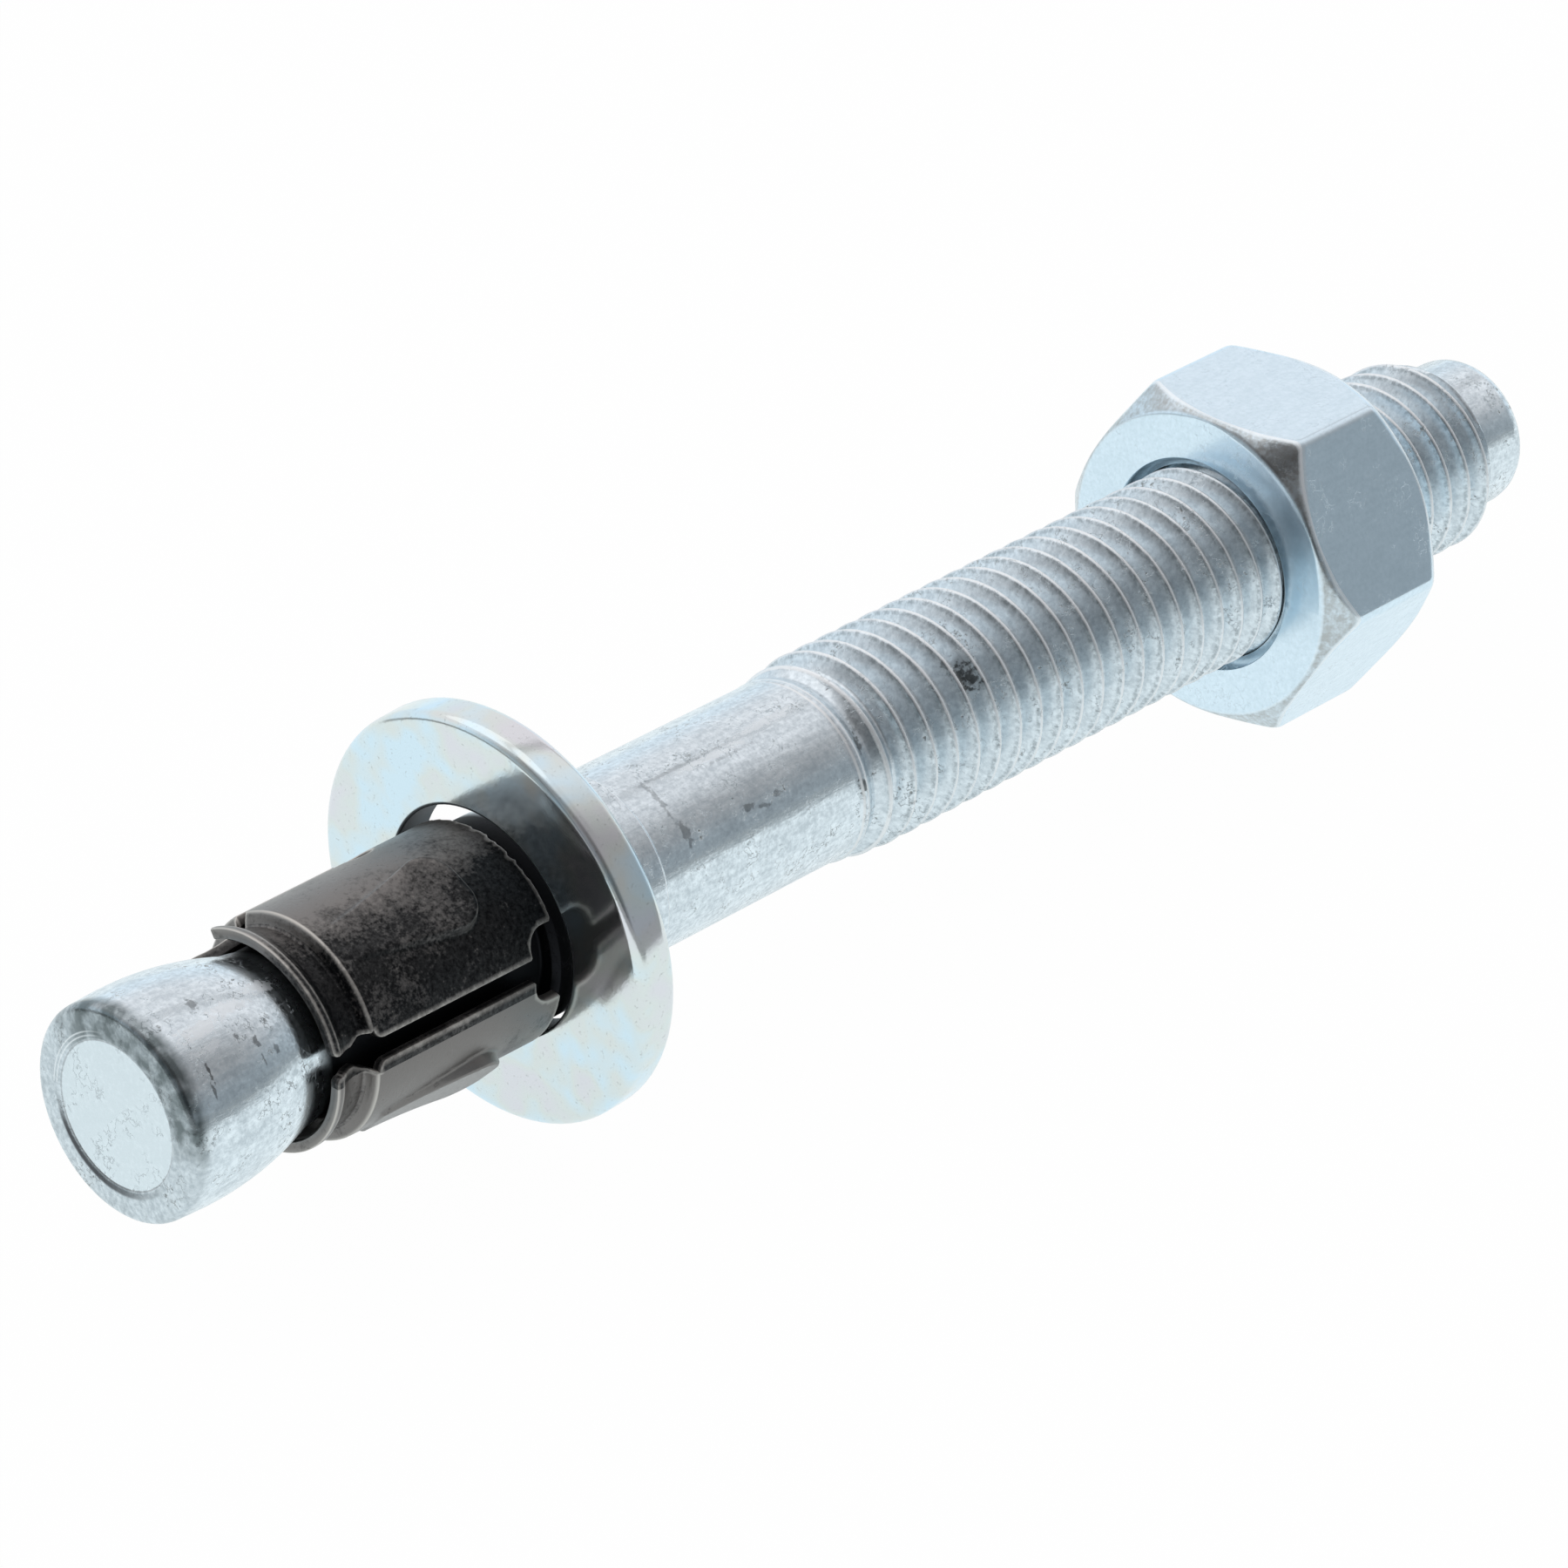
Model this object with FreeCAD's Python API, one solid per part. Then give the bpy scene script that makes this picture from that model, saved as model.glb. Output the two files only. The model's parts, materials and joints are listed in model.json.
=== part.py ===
# A wedge anchor (through bolt), M12 x 110, that lies on the ground as it came to rest.
# Four pieces: a cold-formed stud, the sheet-steel expansion clip round its neck, a flat washer and a
# hexagon nut. Each piece is drawn along the X axis, from the tip of the head at x = 0 towards the nut,
# with the side that ends up on top along +Z. The last section lays the anchor down: it rests on the
# washer's rim and the nut's edge.

import FreeCAD, Part

import math
import os

from FreeCAD import Base

os.makedirs("parts", exist_ok=True)

# Driving sizes of the stud, in millimetres

overall_length = 110.0
thread_diameter = 11.9
thread_pitch = 1.75
thread_depth_per_pitch = 0.6134
thread_start = 53.0
thread_run_up = 3.6
thread_end = 105.9
pitch_line_per_pitch = 0.3
collar_below_thread = 0.1
collar_length = 8.9
collar_edge = 0.45
neck_end = 25.7
cone_end = 10.9
head_diameter = 12.3
head_widest_at = 2.7
head_bulge_radius = 20.0
head_bulge_end = 9.4
head_shoulder_radius = 0.8
head_face_slope = 0.06
tip_disc_diameter = 8.2
tip_disc_recess = 0.2
tip_ring_width = 0.22
tip_ring_depth = 0.12
point_below_root = 0.28
point_edge_radius = 1.2

# Driving sizes of the expansion clip

clip_sheet = 0.6
clip_front = 9.75
clip_rim_width = 0.7
clip_rim_diameter = 12.1
clip_rim_to_neck = 0.7
clip_groove_depth = 0.3
clip_groove_width = 0.8
clip_groove_slope = 0.55
clip_body_front_rise = 0.3
clip_body_rear_rise = 0.4
clip_rear_gap = 0.06
seam_angle = 168.7
seam_width = 1.25
seam_corner_chamfer = 0.5
notch_width = 4.3
notch_depth = 1.9
notch_corner_radius = 0.85
slot_from_seam = 117.0
slot_width = 0.9
slot_length = 10.6
slot_hole_diameter = 2.2
wedge_from_seam = 54.0
wedge_toe_height = 0.06
wedge_height = 0.5
wedge_length = 8.2
wedge_width = 4.6
wedge_narrow_width = 2.4
wedge_end_to_clip_end = 3.85
wedge_corner_radius = 1.7

# Driving sizes of the washer and the nut

washer_diameter = 24.0
washer_bore_over_thread = 1.5
washer_thickness = 2.5
washer_front = 25.95
washer_edge_chamfer = 0.45
washer_bore_chamfer = 0.3
washer_hang_clearance = 0.16
washer_lean = 1.7
nut_across_flats = 19.0
nut_height = 10.0
nut_front = 84.7
nut_face_diameter = 18.6
nut_chamfer_angle = 45.0
nut_countersink_diameter = 13.1
nut_countersink_angle = 45.0
thread_clearance = 0.05

# What follows from them: the stud's shank and collar from its thread, and its neck from the clip's rim

thread_radius = thread_diameter / 2
thread_root_radius = thread_radius - thread_depth_per_pitch * thread_pitch
shank_radius = thread_radius - pitch_line_per_pitch * thread_pitch
collar_radius = thread_radius - collar_below_thread
collar_rear = neck_end + collar_length
point_radius = thread_root_radius - point_below_root
neck_radius = clip_rim_diameter / 2 - clip_sheet - clip_rim_to_neck
head_radius = head_diameter / 2
tip_disc_radius = tip_disc_diameter / 2

washer_radius = washer_diameter / 2
washer_bore_radius = (thread_diameter + washer_bore_over_thread) / 2
washer_lift = washer_bore_radius - thread_radius - washer_hang_clearance
washer_middle = washer_front + washer_thickness / 2
nut_rear = nut_front + nut_height
nut_corner_radius = nut_across_flats / 2 / math.cos(math.radians(30))
nut_chamfer_slope = math.tan(math.radians(nut_chamfer_angle))

# The washer stands on its rim with a slight lean, on the corner between rim and chamfer
lean = math.radians(washer_lean)
rim_half_width = washer_thickness / 2 - washer_edge_chamfer
washer_centre_height = washer_radius * math.cos(lean) + rim_half_width * math.sin(lean)

# The stud hangs low in the washer's bore and drops towards the nut, whose lower flat ends on the ground
nut_flat_trim = (nut_across_flats - nut_face_diameter) / 2 * nut_chamfer_slope
washer_to_nut_contact = nut_rear - nut_flat_trim - washer_middle
drop_below_washer = nut_across_flats / 2 + washer_lift
rest_tilt = math.degrees(
    math.asin(washer_centre_height / math.hypot(drop_below_washer, washer_to_nut_contact))
    - math.atan(drop_below_washer / washer_to_nut_contact))

# The clip ends clear of the washer, whose top leans over it
clip_body_front = clip_front + clip_rim_width + clip_groove_width + 2 * clip_groove_slope
clip_rim_radius = clip_rim_diameter / 2
clip_groove_radius = clip_rim_radius - clip_groove_depth
clip_body_front_radius = clip_rim_radius + clip_body_front_rise
clip_body_rear_radius = clip_rim_radius + clip_body_rear_rise
lean_to_stud = math.radians(rest_tilt + washer_lean)
washer_lean_over_clip = (clip_body_rear_radius - washer_lift) * math.tan(lean_to_stud)
clip_rear = washer_front - washer_lean_over_clip - clip_rear_gap
cutter_height = head_diameter

X_AXIS = Base.Vector(1, 0, 0)
Y_AXIS = Base.Vector(0, 1, 0)
Z_AXIS = Base.Vector(0, 0, 1)
ORIGIN = Base.Vector(0, 0, 0)


class Outline:
    """A closed outline in the half plane through the X axis, drawn from point to point as (x, radius)."""

    def __init__(self, x, radius):
        self.start = Base.Vector(x, 0, radius)
        self.here = self.start
        self.edges = []

    def line(self, x, radius):
        there = Base.Vector(x, 0, radius)
        self.edges.append(Part.LineSegment(self.here, there).toShape())
        self.here = there
        return self

    def arc(self, middle, end):
        through = Base.Vector(middle[0], 0, middle[1])
        there = Base.Vector(end[0], 0, end[1])
        self.edges.append(Part.Arc(self.here, through, there).toShape())
        self.here = there
        return self

    def corner(self, centre, radius, from_angle, to_angle):
        """A round edge about a centre; angles run from +X towards the outside, in degrees."""
        def at(angle):
            turn = math.radians(angle)
            return centre[0] + radius * math.cos(turn), centre[1] + radius * math.sin(turn)

        start = at(from_angle)
        if self.here.distanceToPoint(Base.Vector(start[0], 0, start[1])) > 1e-6:
            self.line(*start)
        return self.arc(at((from_angle + to_angle) / 2), at(to_angle))

    def face(self):
        edges = self.edges + [Part.LineSegment(self.here, self.start).toShape()]
        return Part.Face(Part.Wire(edges))

    def turned(self):
        return self.face().revolve(ORIGIN, X_AXIS, 360)


def turned_about_axis(shape, angle):
    """The shape turned round the anchor's axis, from the +Y side towards the top."""
    moved = shape.copy()
    moved.rotate(ORIGIN, X_AXIS, angle)
    return moved


def make_stud():
    """The stud is turned from one outline, from the tip disc to the hammer-in point."""
    outline = Outline(0, 0)

    # The header's punch leaves a sunk flat disc at the tip, with a fine ring just inside its edge
    ring_inner = tip_disc_radius - 2 * tip_ring_width
    outline.line(tip_disc_recess, ring_inner)
    outline.line(tip_disc_recess + tip_ring_depth, ring_inner + tip_ring_width / 2)
    outline.line(tip_disc_recess, ring_inner + tip_ring_width)
    outline.line(tip_disc_recess, tip_disc_radius)
    outline.line(0, tip_disc_radius + tip_disc_recess)

    # The end face turns over a small rounded shoulder, whose circle touches the bulge from inside
    bulge_centre_r = head_radius - head_bulge_radius

    def bulge(x):
        return bulge_centre_r + math.sqrt(head_bulge_radius ** 2 - (x - head_widest_at) ** 2)

    shoulder_x = head_face_slope + head_shoulder_radius
    shoulder_off = shoulder_x - head_widest_at
    shoulder_rise = math.sqrt((head_bulge_radius - head_shoulder_radius) ** 2 - shoulder_off ** 2)
    shoulder_end_angle = math.degrees(math.atan2(shoulder_rise, shoulder_off))
    shoulder_centre = (shoulder_x, bulge_centre_r + shoulder_rise)
    outline.corner(shoulder_centre, head_shoulder_radius, 180, shoulder_end_angle)

    # The bulge falls in one long curve, and the expander cone goes on from it to the neck
    bulge_middle_x = (outline.here.x + head_bulge_end) / 2
    outline.arc((bulge_middle_x, bulge(bulge_middle_x)), (head_bulge_end, bulge(head_bulge_end)))
    outline.line(cone_end, neck_radius)

    # The collar behind the clip is chamfered at both ends
    outline.line(neck_end, neck_radius)
    outline.line(neck_end, collar_radius - collar_edge)
    outline.line(neck_end + collar_edge, collar_radius)
    outline.line(collar_rear - collar_edge, collar_radius)
    outline.line(collar_rear, shank_radius)

    # The shank is as thick as the thread's pitch line, and the rolled thread rises out of it
    outline.line(thread_start - thread_run_up, shank_radius)
    outline.line(thread_start, thread_radius)
    outline.line(thread_end - (thread_radius - thread_root_radius), thread_radius)
    outline.line(thread_end, thread_root_radius)

    # The plain point takes the hammer's blows, so the thread ends clear of it
    outline.line(thread_end, point_radius)
    point_edge_centre = (overall_length - point_edge_radius, point_radius - point_edge_radius)
    outline.corner(point_edge_centre, point_edge_radius, 90, 0)
    outline.line(overall_length, 0)
    return outline.turned()


def clip_body_radius(x):
    """Outside radius of the clip's main body, which widens slightly towards the collar."""
    share = (x - clip_body_front) / (clip_rear - clip_body_front)
    return clip_body_front_radius + share * (clip_body_rear_radius - clip_body_front_radius)


def clip_section(inset):
    """Stations along the sheet's outside, as (x, radius), moved in by the inset."""
    rim_rear = clip_front + clip_rim_width
    groove_front = rim_rear + clip_groove_slope
    groove_rear = groove_front + clip_groove_width
    return [
        (clip_front, clip_rim_radius - inset),
        (rim_rear, clip_rim_radius - inset),
        (groove_front, clip_groove_radius - inset),
        (groove_rear, clip_groove_radius - inset),
        (clip_body_front, clip_body_front_radius - inset),
        (clip_rear, clip_body_rear_radius - inset),
    ]


def make_clip_blank():
    """The sheet rolled into a ring: rim, pressed groove and main body, all of one thickness."""
    outside = clip_section(0)
    inside = clip_section(clip_sheet)
    outline = Outline(*outside[0])
    for station in outside[1:]:
        outline.line(*station)
    for station in reversed(inside):
        outline.line(*station)
    return outline.turned()


def rounded_plate(x_from, x_to, width_from, width_to, corner_from, corner_to):
    """A cutter or stamp above the axis: its plan runs along X, with its four corners rounded in pairs."""
    corners = [
        Base.Vector(x_from, -width_from / 2, 0),
        Base.Vector(x_to, -width_to / 2, 0),
        Base.Vector(x_to, width_to / 2, 0),
        Base.Vector(x_from, width_from / 2, 0),
    ]
    plate = Part.Face(Part.makePolygon(corners + corners[:1])).extrude(Z_AXIS * cutter_height)
    for x, radius in ((x_from, corner_from), (x_to, corner_to)):
        if radius > 0:
            upright = [
                edge for edge in plate.Edges
                if abs(edge.Length - cutter_height) < 1e-6 and abs(edge.CenterOfMass.x - x) < 1e-6
            ]
            plate = plate.makeFillet(radius, upright)
    return plate


def on_clip(plate, from_seam):
    """The plate turned from above the axis to its place round the clip, measured from the seam."""
    return turned_about_axis(plate, seam_angle + from_seam - 90)


def make_seam_cutter():
    """The open seam runs the whole length, with broken corners at the rim and the body's front edge."""
    reach = clip_sheet
    seam = rounded_plate(clip_front - reach, clip_rear + reach, seam_width, seam_width, 0, 0)
    mouth_half = seam_width / 2 + seam_corner_chamfer
    for x in (clip_front, clip_body_front):
        mouth = Part.makePolygon([
            Base.Vector(x - reach, -mouth_half, 0),
            Base.Vector(x, -mouth_half, 0),
            Base.Vector(x + 2 * seam_corner_chamfer, 0, 0),
            Base.Vector(x, mouth_half, 0),
            Base.Vector(x - reach, mouth_half, 0),
            Base.Vector(x - reach, -mouth_half, 0),
        ])
        seam = seam.fuse(Part.Face(mouth).extrude(Z_AXIS * cutter_height))
    notch = rounded_plate(
        clip_rear - notch_depth, clip_rear + notch_depth, notch_width, notch_width, notch_corner_radius, 0)
    return on_clip(seam.fuse(notch), 0)


def make_slot_cutter(side):
    """A slot opens at the head end and stops in a round hole, so the segments stay joined behind it."""
    slot_end = clip_front + slot_length
    slot = rounded_plate(clip_front - clip_sheet, slot_end, slot_width, slot_width, 0, 0)
    hole = Part.makeCylinder(slot_hole_diameter / 2, cutter_height, Base.Vector(slot_end, 0, 0), Z_AXIS)
    return on_clip(slot.fuse(hole), side * slot_from_seam)


def wedge_ramp(surface_inset, plan_inset):
    """A tongue, flat across, that curves up from the clip's surface. It is added outside or cut inside."""
    x_end = clip_rear - wedge_end_to_clip_end - plan_inset
    x_start = clip_rear - wedge_end_to_clip_end - wedge_length + plan_inset
    base = clip_body_radius(x_start) + wedge_toe_height - surface_inset
    foot = base - 2 * clip_sheet
    profile = Outline(x_start, foot)
    profile.line(x_start, base)
    rise = wedge_height - wedge_toe_height
    profile.arc(((x_start + x_end) / 2, base + rise / 4), (x_end, base + rise))
    profile.line(x_end, foot)
    tongue = profile.face().extrude(Y_AXIS * wedge_width)
    tongue.translate(Y_AXIS * -wedge_width / 2)
    plan = rounded_plate(
        x_start, x_end,
        wedge_narrow_width - 2 * plan_inset, wedge_width - 2 * plan_inset,
        0, wedge_corner_radius - plan_inset)
    return tongue.common(plan)


def make_expansion_clip():
    """The stamped and rolled clip: blank, wedges pressed outwards, then seam, notch and slots."""
    clip = make_clip_blank()
    wedge_places = (-wedge_from_seam, wedge_from_seam, 180)
    for place in wedge_places:
        clip = clip.fuse(on_clip(wedge_ramp(0, 0), place))
    for place in wedge_places:
        clip = clip.cut(on_clip(wedge_ramp(clip_sheet, clip_sheet / 2), place))
    clip = clip.cut(make_seam_cutter())
    for side in (-1, 1):
        clip = clip.cut(make_slot_cutter(side))
    return clip.removeSplitter()


def make_washer():
    """The washer stands on its rim, its top leaning to the head, and the stud lies low in its bore."""
    rear = washer_front + washer_thickness
    edge = washer_edge_chamfer
    bore_edge = washer_bore_chamfer
    outline = Outline(washer_front, washer_radius - edge)
    outline.line(washer_front + edge, washer_radius)
    outline.line(rear - edge, washer_radius)
    outline.line(rear, washer_radius - edge)
    outline.line(rear, washer_bore_radius + bore_edge)
    outline.line(rear - bore_edge, washer_bore_radius)
    outline.line(washer_front + bore_edge, washer_bore_radius)
    outline.line(washer_front, washer_bore_radius + bore_edge)
    washer = outline.turned()
    washer.rotate(Base.Vector(washer_middle, 0, 0), Y_AXIS, -rest_tilt - washer_lean)
    washer.translate(Z_AXIS * washer_lift)
    return washer


def make_nut():
    """A hexagon bar end, trimmed by a cone at both faces, bored and countersunk. It lies on a flat."""
    corners = []
    for number in range(7):
        turn = math.radians(60 * number)
        out = nut_corner_radius * math.cos(turn)
        up = nut_corner_radius * math.sin(turn)
        corners.append(Base.Vector(nut_front, out, up))
    hexagon = Part.Face(Part.makePolygon(corners)).extrude(X_AXIS * nut_height)

    trim_rise = (nut_corner_radius - nut_face_diameter / 2) * nut_chamfer_slope
    trim = Outline(nut_front, 0)
    trim.line(nut_front, nut_face_diameter / 2)
    trim.line(nut_front + trim_rise, nut_corner_radius)
    trim.line(nut_rear - trim_rise, nut_corner_radius)
    trim.line(nut_rear, nut_face_diameter / 2)
    trim.line(nut_rear, 0)
    nut = hexagon.common(trim.turned())

    bore_radius = thread_radius + thread_clearance
    sink_slope = math.tan(math.radians(nut_countersink_angle))
    sink_depth = (nut_countersink_diameter / 2 - bore_radius) * sink_slope
    bore = Outline(nut_front, 0)
    bore.line(nut_front, nut_countersink_diameter / 2)
    bore.line(nut_front + sink_depth, bore_radius)
    bore.line(nut_rear - sink_depth, bore_radius)
    bore.line(nut_rear, nut_countersink_diameter / 2)
    bore.line(nut_rear, 0)
    return nut.cut(bore.turned())


def lay_down(pieces):
    """Tilts the anchor to its rest, with the origin on the ground under the middle of its bounding box."""
    for piece in pieces.values():
        piece.rotate(ORIGIN, Y_AXIS, rest_tilt)
    box = Part.Compound(list(pieces.values())).optimalBoundingBox(False, False)
    shift = Base.Vector(-(box.XMin + box.XMax) / 2, -(box.YMin + box.YMax) / 2, -box.ZMin)
    for piece in pieces.values():
        piece.translate(shift)
    return shift


pieces = {
    "stud": make_stud(),
    "expansion_clip": make_expansion_clip(),
    "washer": make_washer(),
    "hex_nut": make_nut(),
}
shift = lay_down(pieces)

for name, piece in pieces.items():
    piece.exportStep("parts/" + name + ".step")
    print(name, "solids", len(piece.Solids), "valid", piece.isValid(), "volume", round(piece.Volume, 1))

# The places that the interfaces and the moving pieces take after the anchor is laid down
print("tilt", round(rest_tilt, 4), "degrees, tip at", [round(value, 4) for value in shift])
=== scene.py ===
import json
import math

import bmesh
import bpy
import numpy as np
from mathutils import Matrix, Quaternion, Vector, geometry, noise


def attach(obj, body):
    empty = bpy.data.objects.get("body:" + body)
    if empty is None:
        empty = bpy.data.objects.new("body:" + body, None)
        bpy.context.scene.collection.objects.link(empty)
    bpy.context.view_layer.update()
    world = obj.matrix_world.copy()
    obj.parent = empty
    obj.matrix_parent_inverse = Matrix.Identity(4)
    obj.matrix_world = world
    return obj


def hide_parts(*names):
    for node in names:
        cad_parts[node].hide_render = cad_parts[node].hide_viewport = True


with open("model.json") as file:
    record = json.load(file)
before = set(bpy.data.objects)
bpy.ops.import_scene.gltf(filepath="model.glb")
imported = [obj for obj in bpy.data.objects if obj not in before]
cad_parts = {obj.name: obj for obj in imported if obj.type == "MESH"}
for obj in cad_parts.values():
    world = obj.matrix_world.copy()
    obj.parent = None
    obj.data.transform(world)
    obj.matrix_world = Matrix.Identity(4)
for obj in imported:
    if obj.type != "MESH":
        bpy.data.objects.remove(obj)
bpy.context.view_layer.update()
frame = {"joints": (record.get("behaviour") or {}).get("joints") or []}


# Camera
# The photograph looks down at the anchor from the head end's near side, with a long lens.

camera = bpy.data.objects.new("camera", bpy.data.cameras.new("camera"))
bpy.context.collection.objects.link(camera)
camera.data.sensor_width = 36.0
camera.data.lens = 161.84
camera.data.clip_start = 0.01
camera.location = (-0.248913, -0.223029, 0.212986)
camera_aim = Vector((-0.005859, -0.000275, 0.010486))
camera_roll = math.radians(1.06)
camera.rotation_mode = "QUATERNION"
camera.rotation_quaternion = (
    (camera_aim - camera.location).to_track_quat("-Z", "Y") @ Quaternion((0, 0, 1), camera_roll))
bpy.context.scene.camera = camera
bpy.context.scene.view_settings.view_transform = "Standard"


# Floor and studio
# A white sheet in a light tent. The tent is pale overhead and on its far side, and grey on the near side
# and beyond the head's end, which the zinc shows as a darker band along its upper near side.

def add(tree, kind, settings=None, inputs=None):
    """Adds a node with its settings, and sets or links its inputs."""
    made = tree.nodes.new(kind)
    for name, value in (settings or {}).items():
        setattr(made, name, value)
    for name, value in (inputs or {}).items():
        if isinstance(value, bpy.types.Node):
            value = value.outputs[0]
        if isinstance(value, bpy.types.NodeSocket):
            tree.links.new(value, made.inputs[name])
        else:
            made.inputs[name].default_value = value
    return made


def paint(code):
    """A sRGB hex colour as the linear colour that a socket takes."""
    linear = []
    for start in (1, 3, 5):
        share = int(code[start:start + 2], 16) / 255
        linear.append(share / 12.92 if share <= 0.04045 else ((share + 0.055) / 1.055) ** 2.4)
    return (*linear, 1.0)


def blank(material_or_world):
    """The node tree of a new material or world, emptied."""
    material_or_world.use_nodes = True
    material_or_world.node_tree.nodes.clear()
    return material_or_world.node_tree


floor_half = 1.5
floor_drop = 0.00003
floor_mesh = bpy.data.meshes.new("floor")
floor_mesh.from_pydata(
    [(-floor_half, -floor_half, -floor_drop), (floor_half, -floor_half, -floor_drop),
     (floor_half, floor_half, -floor_drop), (-floor_half, floor_half, -floor_drop)],
    [], [(0, 1, 2, 3)])
floor = bpy.data.objects.new("floor", floor_mesh)
bpy.context.collection.objects.link(floor)

# A matt white sheet, little larger than the picture, on a grey table. The camera sees it as white all
# over, the metal shows it faintly bluish and where it ends, and both keep the object's shadow
sheet_left_end = (-0.107, -0.097)
sheet_near_end = (-0.088, -0.08)
table_level = 0.35
board = bpy.data.materials.new("matt white board")
tree = blank(board)
path = add(tree, "ShaderNodeLightPath")
ground = add(tree, "ShaderNodeSeparateXYZ", None, {0: add(tree, "ShaderNodeTexCoord").outputs["Object"]})
sheet_left = add(tree, "ShaderNodeMapRange", None, {
    "Value": ground.outputs["X"], "From Min": sheet_left_end[0], "From Max": sheet_left_end[1],
    "To Min": table_level, "To Max": 1.0})
sheet_near = add(tree, "ShaderNodeMapRange", None, {
    "Value": ground.outputs["Y"], "From Min": sheet_near_end[0], "From Max": sheet_near_end[1],
    "To Min": table_level, "To Max": 1.0})
sheet = add(tree, "ShaderNodeMath", {"operation": "MINIMUM"}, {0: sheet_left, 1: sheet_near})
white_level = add(tree, "ShaderNodeMix", {"data_type": "FLOAT"}, {
    "Factor": path.outputs["Is Glossy Ray"], "A": 1.0, "B": sheet})
seen_share = add(tree, "ShaderNodeMath", {"operation": "MULTIPLY"}, {
    0: path.outputs["Is Camera Ray"], 1: 0.985})
seen_share = add(tree, "ShaderNodeMath", {"operation": "MULTIPLY_ADD"}, {
    0: path.outputs["Is Glossy Ray"], 1: 0.94, 2: seen_share})
lit = add(tree, "ShaderNodeBsdfDiffuse", None, {"Color": paint("#F4F4F4")})
white_tint = add(tree, "ShaderNodeMix", {"data_type": "RGBA"}, {
    "Factor": path.outputs["Is Glossy Ray"], "A": paint("#FFFFFF"), "B": paint("#F6FDFF")})
plain = add(tree, "ShaderNodeEmission", None, {
    "Color": white_tint.outputs["Result"], "Strength": white_level})
mixed = add(tree, "ShaderNodeMixShader", None, {0: seen_share, 1: lit, 2: plain})
add(tree, "ShaderNodeOutputMaterial", None, {"Surface": mixed})
floor_mesh.materials.append(board)

# The tent is white with a cold tinge low down on the far side, and greyer and less cold overhead. Its
# near side is grey, its darkest cloth hangs beyond the head's end, and a narrow dark gap between two cloths
# runs overhead along the anchor
dark_cloth_towards = (-0.958, -0.202, 0.202)
gap_slope = 0.36
world = bpy.data.worlds.new("light tent")
bpy.context.scene.world = world
tree = blank(world)
sky = add(tree, "ShaderNodeTexCoord").outputs["Generated"]
direction = add(tree, "ShaderNodeSeparateXYZ", None, {0: sky})
overhead = add(tree, "ShaderNodeMapRange", {"interpolation_type": "SMOOTHSTEP"}, {
    "Value": direction.outputs["Z"], "From Min": 0.1, "From Max": 0.6, "To Min": 1.0, "To Max": 0.92})
near_side = add(tree, "ShaderNodeMapRange", {"interpolation_type": "SMOOTHSTEP"}, {
    "Value": direction.outputs["Y"], "From Min": -0.62, "From Max": 0.0, "To Min": 0.4, "To Max": 1.0})
gap_place = add(tree, "ShaderNodeMath", {"operation": "MULTIPLY_ADD"}, {
    0: direction.outputs["Z"], 1: -gap_slope, 2: direction.outputs["Y"]})
gap_off = add(tree, "ShaderNodeMath", {"operation": "ABSOLUTE"}, {0: gap_place})
gap = add(tree, "ShaderNodeMapRange", {"interpolation_type": "SMOOTHSTEP"}, {
    "Value": gap_off, "From Min": 0.01, "From Max": 0.08, "To Min": 0.6, "To Max": 1.0})
near_cloth = add(tree, "ShaderNodeVectorMath", {"operation": "DOT_PRODUCT"}, {
    0: sky, 1: dark_cloth_towards})
dark_cloth = add(tree, "ShaderNodeMapRange", {"interpolation_type": "SMOOTHSTEP"}, {
    "Value": near_cloth.outputs["Value"], "From Min": 0.5, "From Max": 0.92, "To Min": 1.0, "To Max": 0.3})
light_level = overhead
for level in (near_side, gap, dark_cloth):
    light_level = add(tree, "ShaderNodeMath", {"operation": "MULTIPLY"}, {0: light_level, 1: level})
warmer_up = add(tree, "ShaderNodeMapRange", {"interpolation_type": "SMOOTHSTEP"}, {
    "Value": direction.outputs["Z"], "From Min": 0.15, "From Max": 0.5})
tent_tint = add(tree, "ShaderNodeMix", {"data_type": "RGBA"}, {
    "Factor": warmer_up, "A": paint("#ECF7FF"), "B": paint("#FAF9FB")})
add(tree, "ShaderNodeOutputWorld", None, {
    "Surface": add(tree, "ShaderNodeBackground", None, {
        "Color": tent_tint.outputs["Result"], "Strength": light_level})})

lamp = bpy.data.objects.new("softbox", bpy.data.lights.new("softbox", "AREA"))
lamp.data.shape = "DISK"
lamp.data.size = 1.0
lamp.data.energy = 0.6
lamp.location = (-0.1, 0.35, 0.75)
lamp.rotation_mode = "QUATERNION"
lamp.rotation_quaternion = (-lamp.location).to_track_quat("-Z", "Y")
bpy.context.collection.objects.link(lamp)


# Stud
# One cold-headed steel piece with a rolled thread, zinc plated. Its head is the expander cone, whose neck
# the clip sits round; a collar follows, the plain shank, the M12 thread and the plain hammer-in point.

# Everything is drawn in millimetres with the tip at the origin and the stud along +X, then laid down
clip_turn = next(joint for joint in frame["joints"] if joint["name"] == "clip_turn")
clip_turn_from_tip = 0.018
stud_axis = Vector(clip_turn["axis"])
stud_tip = Vector(clip_turn["pos_m"]) - stud_axis * clip_turn_from_tip
stud_tilt = math.atan2(-stud_axis.z, stud_axis.x)
lay_down = Matrix.Translation(stud_tip) @ Matrix.Rotation(stud_tilt, 4, "Y") @ Matrix.Scale(0.001, 4)

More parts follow.
